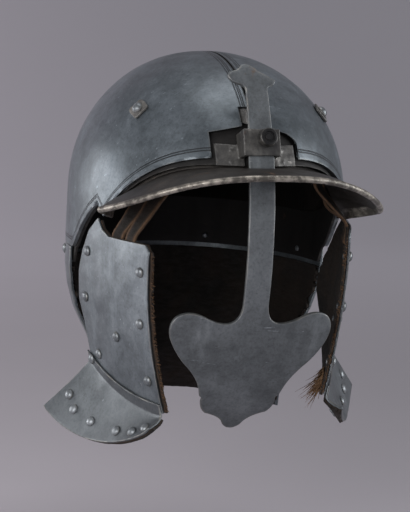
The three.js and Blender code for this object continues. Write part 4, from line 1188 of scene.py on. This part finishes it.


# Blackened steel: mottled blue-grey, fine pits, long planishing streaks, brown patches and worn edges; with lines,
# dark grooves and a painted shade beside the seam
def steel(name, dark, light, rust, edge_width=0.0012, lines=False, rough=0.44, grain=1.0, edge=True, worn=0.45,
          bright=WORN_TONE, worn_above=None):
    g = Graph(name, Metallic=0.55, Specular_IOR_Level=0.5)
    broad = g.span(g.noise(11, 5, 0.55, warp=0.5), 0.34, 0.68)
    mottle = g.span(g.noise(75, 8, 0.66, warp=0.3), 0.34, 0.7)
    colour = g.mix(g.plus(g.times(broad, 0.6), g.times(mottle, 0.4)),
                   rgb(*dark), rgb(*light))
    fine = g.noise(420, 8, 0.7)
    colour = g.mix(g.span(fine, 0.42, 0.78, 0, 0.5), colour, scaled(dark, 0.5))
    streaks = g.noise(38, 8, 0.68, stretch=(1.0, 1.0, 0.12))
    colour = g.mix(g.span(streaks, 0.55, 0.74, 0, 0.22), colour, scaled(light, 1.35))
    scratches = g.noise(230, 5, 0.6, stretch=(0.16, 1.3, 1.0), warp=0.25)
    colour = g.mix(g.span(scratches, 0.66, 0.72, 0, 0.4), colour, scaled(light, 1.5))
    pits = g.span(g.cells(620), 0.02, 0.16, 1.0, 0.0)
    pits = g.times(pits, g.span(g.noise(55, 5, 0.6), 0.48, 0.62))
    colour = g.mix(g.times(pits, 0.65), colour, rgb(*PIT_TONE))
    patches = g.noise(30, 9, 0.72, warp=0.8)
    if worn_above is not None:
        height = g.node("SeparateXYZ", inputs={"Vector": g.places}).outputs[2]
        patches = g.plus(patches, g.span(height, worn_above, worn_above + 0.03, 0.0, 0.1))
    rusty = g.span(patches, 0.72 - rust * 0.3, 0.84 - rust * 0.26)
    specks = g.span(g.noise(900, 4, 0.6), 0.66, 0.76)
    rusty = g.value("MAXIMUM", rusty, g.times(specks, g.span(patches, 0.42, 0.62)))
    colour = g.mix(g.times(rusty, 0.7), colour, g.mix(fine, *[rgb(*tone) for tone in RUST_TONES]))
    roughness = g.plus(g.span(streaks, 0.3, 0.7, rough - 0.07, rough + 0.08),
                        g.times(rusty, 0.25))
    height = g.plus(g.times(streaks, 0.5), g.times(fine, 0.16))
    height = g.value("SUBTRACT", height, g.times(pits, 0.7))
    if edge:
        near = g.attribute("edge")
        broken = g.times(g.span(g.noise(90, 8, 0.7), 0.42, 0.62, 0.15, 1.0),
                         g.span(near, edge_width * 0.4, edge_width, 1.0, 0.0))
        colour = g.mix(g.times(broken, worn), colour, rgb(*bright))
        roughness = g.mix(broken, roughness, (0.4, 0.4, 0.4, 1))
    normal = g.bump(height, 0.00035 * grain, 0.5)
    if lines:
        seam = g.attribute("seam")
        # Painted shade: the plates darken along both sides of the seam gap
        colour = g.mix(g.span(seam, *SEAM_SHADOW, 0.85, 0.0), colour, rgb(*SEAM_SHADE_TONE))
        grooves = None
        for source, places in GROOVES:
            away = g.attribute(source)
            for place in places:
                groove = g.span(g.value("ABSOLUTE", g.value("SUBTRACT", away, place)), *GROOVE_HALF, 1.0, 0.0)
                grooves = groove if grooves is None else g.value("MAXIMUM", grooves, groove)
        colour = g.mix(g.times(grooves, 0.8), colour, rgb(*GROOVE_TONE))
        normal = g.bump(g.times(grooves, -1.0), 0.0006, 0.9, under=normal)
    return g.finish(colour, roughness, normal)


def leather(name, dark, light, dry_edge):
    g = Graph(name, Metallic=0.0, Specular_IOR_Level=0.35)
    patches = g.span(g.noise(26, 8, 0.65, warp=0.6), 0.35, 0.68)
    colour = g.mix(patches, rgb(*dark), rgb(*light))
    grain = g.cells(1500)
    colour = g.mix(g.span(grain, 0.05, 0.5, 0.45, 0.0), colour, scaled(dark, 0.6))
    dry = g.span(g.attribute("edge"), 0.0, 0.004, 0.8, 0.0)
    colour = g.mix(g.times(dry, g.noise(300, 6, 0.7)), colour, rgb(*dry_edge))
    creases = g.noise(90, 9, 0.75, stretch=(1, 1, 3.0))
    roughness = g.span(creases, 0.3, 0.7, 0.66, 0.95)
    return g.finish(colour, roughness, g.bump(g.plus(g.times(grain, 0.5), creases), 0.0006, 0.8))


def textile(name):
    g = Graph(name, Metallic=0.0, Specular_IOR_Level=0.1)
    stains = g.span(g.noise(16, 7, 0.6), 0.35, 0.65)
    # The cloth is near black: painted shade of the helmet's inside over its stained tone
    colour = g.mix(stains, rgb(13, 12, 11), rgb(28, 25, 22))
    weave = []
    for direction in ("X", "Z"):
        wave = g.node("TexWave", {"bands_direction": direction}, {"Vector": g.places, "Scale": 420.0,
                                                                  "Distortion": 0.6, "Detail": 1.0})
        weave.append(wave.outputs["Fac"])
    threads = g.times(*weave)
    colour = g.mix(g.span(threads, 0.0, 0.6, 0.5, 0.0), colour, rgb(8, 7, 6))
    return g.finish(colour, g.span(stains, 0, 1, 0.85, 0.98), g.bump(threads, 0.0004, 0.8))


# The object

plate_steel = steel("blackened_steel", (72, 79, 84), (112, 120, 127), rust=0.08, lines=True, rough=0.38, worn=0.25)
side_steel = steel("blackened_steel_sides", (76, 82, 87), (120, 127, 133), rust=0.14, rough=0.38, worn=0.4)
# The flares take a darker copy of the cheeks' steel, a painted shade; its extra rust and wear are the steel's own
flare_steel_shade_darkened = steel("blackened_steel_flares_shade_darkened", (62, 66, 70), (98, 103, 107), rust=0.2, rough=0.4, worn=0.55)
guard_steel = steel("blackened_steel_guard", (84, 88, 91), (122, 127, 131), rust=0.18, rough=0.46, grain=1.3,
                    worn=0.4, worn_above=-0.06)
brim_steel = steel("worn_steel", (38, 35, 33), (80, 76, 72), rust=0.42, edge_width=0.0016, grain=1.6, worn=0.85,
                   bright=(164, 158, 148))
forged_steel = steel("forged_steel", (80, 80, 80), (144, 141, 136), rust=0.42, grain=1.6, edge=False)
bracket_steel = steel("bracket_steel", (52, 52, 53), (122, 120, 116), rust=0.52, grain=1.6, edge=False)
# The inner skull's steel is darkened almost to black: painted shade of the helmet's inside
shade_darkened_steel = steel("shade_darkened_steel", (20, 19, 19), (34, 32, 31), rust=0.3, rough=0.66, edge_width=0.0008, worn=0.1)
# Rivet heads take a lighter steel than the plates: a painted highlight on their domes
rivet_steel = steel("rivet_steel", (84, 89, 93), (136, 141, 145), rust=0.2, edge_width=0.0011, grain=0.8,
                    rough=0.34)
# The clamp screw's steel is near black: the dark steel of its head, with painted shade on the face of the head
shaded_screw_steel = steel("shaded_screw_steel", (24, 24, 25), (46, 46, 47), rust=0.25)
# The leather of the linings, crown patch and hanging leathers is darkened almost to black as painted shade of the
# helmet's inside; the lighter edges are dry leather
old_leather = leather("old_leather", (15, 12, 10), (32, 24, 18), (124, 93, 66))
brown_leather = leather("brown_leather", (52, 35, 23), (92, 66, 45), (150, 118, 86))
shade_darkened_textile = textile("shade_darkened_textile")

for tag, side in SIDES:
    outer_skull(tag, side, plate_steel)
inner_skull(shade_darkened_steel)
lining_cap(shade_darkened_textile)
forged("crown_patch_dressed", "crown_patch", 0.0012, 0.0004, 0.01, old_leather, "leather")
peak(brim_steel)
neck_guard(side_steel)
neck_lining(old_leather)
nasal(guard_steel)
forged("nasal_bracket_dressed", "nasal_bracket", 0.0006, 0.0004, 0.012, bracket_steel, "worn_steel", seed=3)
forged("bar_rest_block_dressed", "bar_rest_block", 0.0006, 0.0005, 0.008, forged_steel, "worn_steel", seed=5)
clamp_screw(shaded_screw_steel)
rosettes(forged_steel, rivet_steel)
plain_rivets(rivet_steel)
for tag, side in SIDES:
    cheekpiece(tag, side, side_steel, flare_steel_shade_darkened, old_leather, rivet_steel)
    leather_rivets(tag, side, rivet_steel)
    for end, azimuth in STRAPS:
        hanging_leather(tag, side, end, azimuth, old_leather)
tuft("cheek_tuft_left", 1, brown_leather, "cheek_left")


# Camera at the photo's angle: a long lens, a little above the helmet and towards its right side

VIEW_SIDE = 18.0
VIEW_RISE = 8.0
VIEW_ROLL = 2.6
VIEW_DISTANCE = 2.0
AIM = Vector((0.0031, -0.001, -0.165))
PIXELS_PER_METRE = 1080
FRAME_PIXELS = 512
SENSOR_MM = 36

FLOOR_HEIGHT = -0.46
FLOOR_FRONT = -5.0
BEND_START = 2.3
BEND_RADIUS = 2.4
BACK_RISE = 1.5
SWEEP_HALF_WIDTH = 6.0
TONE_SIDES = (-1.2, 1.4)
LAMP_REACH = (0.6, 2.4)
# Left and right tones of the sweep: the difference between them is painted light from the left
PAPER_TONES_LIT_LEFT = ((200, 193, 201), (140, 138, 144))
PAPER_STAIN = (150, 146, 152)
FAR_GLOW_TONES = ((134, 128, 136), (108, 106, 112))
WORLD_TONE = (150, 148, 152)
WORLD_STRENGTH = 0.35

# Name, place, size, watts and colour of each lamp; all aim at the middle of the helmet
HELMET_MIDDLE = (0, -0.03, -0.14)
LAMPS = (
    ("key", (-1.55, -1.3, 0.25), (1.5, 1.1), 33, (1.0, 0.99, 0.98)),
    ("left", (-1.4, 0.9, -0.1), (0.9, 0.7), 10, (1.0, 1.0, 1.0)),
    ("right", (1.6, -0.6, 0.2), (1.2, 1.2), 25, (0.98, 0.99, 1.0)),
    ("top", (0.1, 0.0, 1.6), (1.2, 1.0), 10, (1.0, 1.0, 1.0)),
)


def camera():
    side, rise, roll = (math.radians(a) for a in (VIEW_SIDE, VIEW_RISE, VIEW_ROLL))
    ahead = Vector((math.sin(side) * math.cos(rise), math.cos(side) * math.cos(rise), -math.sin(rise)))
    right = Vector((math.cos(side), -math.sin(side), 0))
    up = right.cross(ahead)
    right, up = (right * math.cos(roll) + up * math.sin(roll), up * math.cos(roll) - right * math.sin(roll))
    data = bpy.data.cameras.new("camera")
    data.sensor_width = SENSOR_MM
    data.lens = SENSOR_MM * PIXELS_PER_METRE * VIEW_DISTANCE / FRAME_PIXELS
    obj = linked(bpy.data.objects.new("camera", data))
    turn = Matrix((right, up, -ahead)).transposed().to_4x4()
    obj.matrix_world = Matrix.Translation(AIM - ahead * VIEW_DISTANCE) @ turn
    bpy.context.scene.camera = obj


def area_light(name, place, size, power, colour):
    data = bpy.data.lights.new(name, "AREA")
    data.shape = "RECTANGLE"
    data.size, data.size_y = size
    data.energy = power
    data.color = colour
    obj = linked(bpy.data.objects.new(name, data))
    obj.location = place
    obj.rotation_euler = (Vector(HELMET_MIDDLE) - Vector(place)).to_track_quat("-Z", "Y").to_euler()


# One for the rays that show the background, straight, in metal or through glass, and zero for the light on things
def seen_rays(tree):
    path = tree.nodes.new("ShaderNodeLightPath")
    seen = path.outputs["Is Camera Ray"]
    for kind in ("Is Glossy Ray", "Is Transmission Ray"):
        most = tree.nodes.new("ShaderNodeMath")
        most.operation = "MAXIMUM"
        tree.links.new(seen, most.inputs[0])
        tree.links.new(path.outputs[kind], most.inputs[1])
        seen = most.outputs[0]
    return seen


# A pale floor that rises far behind the helmet in one wide curve, with painted light making it a little brighter
# to the left. The far part glows at its own tone, a painted light, since the lamps don't reach it.
def sweep():
    centre = FLOOR_HEIGHT + BEND_RADIUS
    line = [(y, FLOOR_HEIGHT) for y in np.linspace(FLOOR_FRONT, BEND_START - 0.1, 24)]
    line += [(BEND_START + BEND_RADIUS * math.sin(a), centre - BEND_RADIUS * math.cos(a))
             for a in np.linspace(0, math.pi / 2, 60)]
    line.append((BEND_START + BEND_RADIUS, centre + BACK_RISE))
    across = np.linspace(-SWEEP_HALF_WIDTH, SWEEP_HALF_WIDTH, 12)
    points = [(x, y, z) for x in across for y, z in line]
    count = len(line)
    faces = [(i * count + k, i * count + k + 1, (i + 1) * count + k + 1, (i + 1) * count + k)
             for i in range(len(across) - 1) for k in range(count - 1)]
    obj = new_object("floor_sweep", points, faces)
    for face in obj.data.polygons:
        face.use_smooth = True
    g = Graph("floor_paper", Roughness=0.9, Specular_IOR_Level=0.2)
    side = g.node("SeparateXYZ", inputs={"Vector": g.places}).outputs[0]
    paper, far = [g.mix(g.span(side, *TONE_SIDES), rgb(*left), rgb(*right))
                  for left, right in (PAPER_TONES_LIT_LEFT, FAR_GLOW_TONES)]
    g.set("Base Color", g.mix(g.span(g.noise(3, 3, 0.5), 0.3, 0.7, 0, 0.12), paper, rgb(*PAPER_STAIN)))
    away = g.node("VectorMath", {"operation": "LENGTH"}, {0: g.places}).outputs["Value"]
    g.set("Emission Color", far)
    g.set("Emission Strength", g.times(g.span(away, *LAMP_REACH), seen_rays(g.tree)))
    obj.data.materials.append(g.material)


# The world is a soft grey light, and metal sees it at the tone of the backdrop
def studio():
    made = bpy.data.worlds.new("studio")
    made.use_nodes = True
    tree = made.node_tree
    back = tree.nodes["Background"]
    back.inputs["Color"].default_value = rgb(*WORLD_TONE)
    strength = tree.nodes.new("ShaderNodeMapRange")
    tree.links.new(seen_rays(tree), strength.inputs["Value"])
    strength.inputs["To Min"].default_value = WORLD_STRENGTH
    tree.links.new(strength.outputs[0], back.inputs["Strength"])
    bpy.context.scene.world = made


camera()
sweep()
studio()
for lamp in LAMPS:
    area_light(*lamp)
bpy.context.scene.view_settings.view_transform = "Standard"
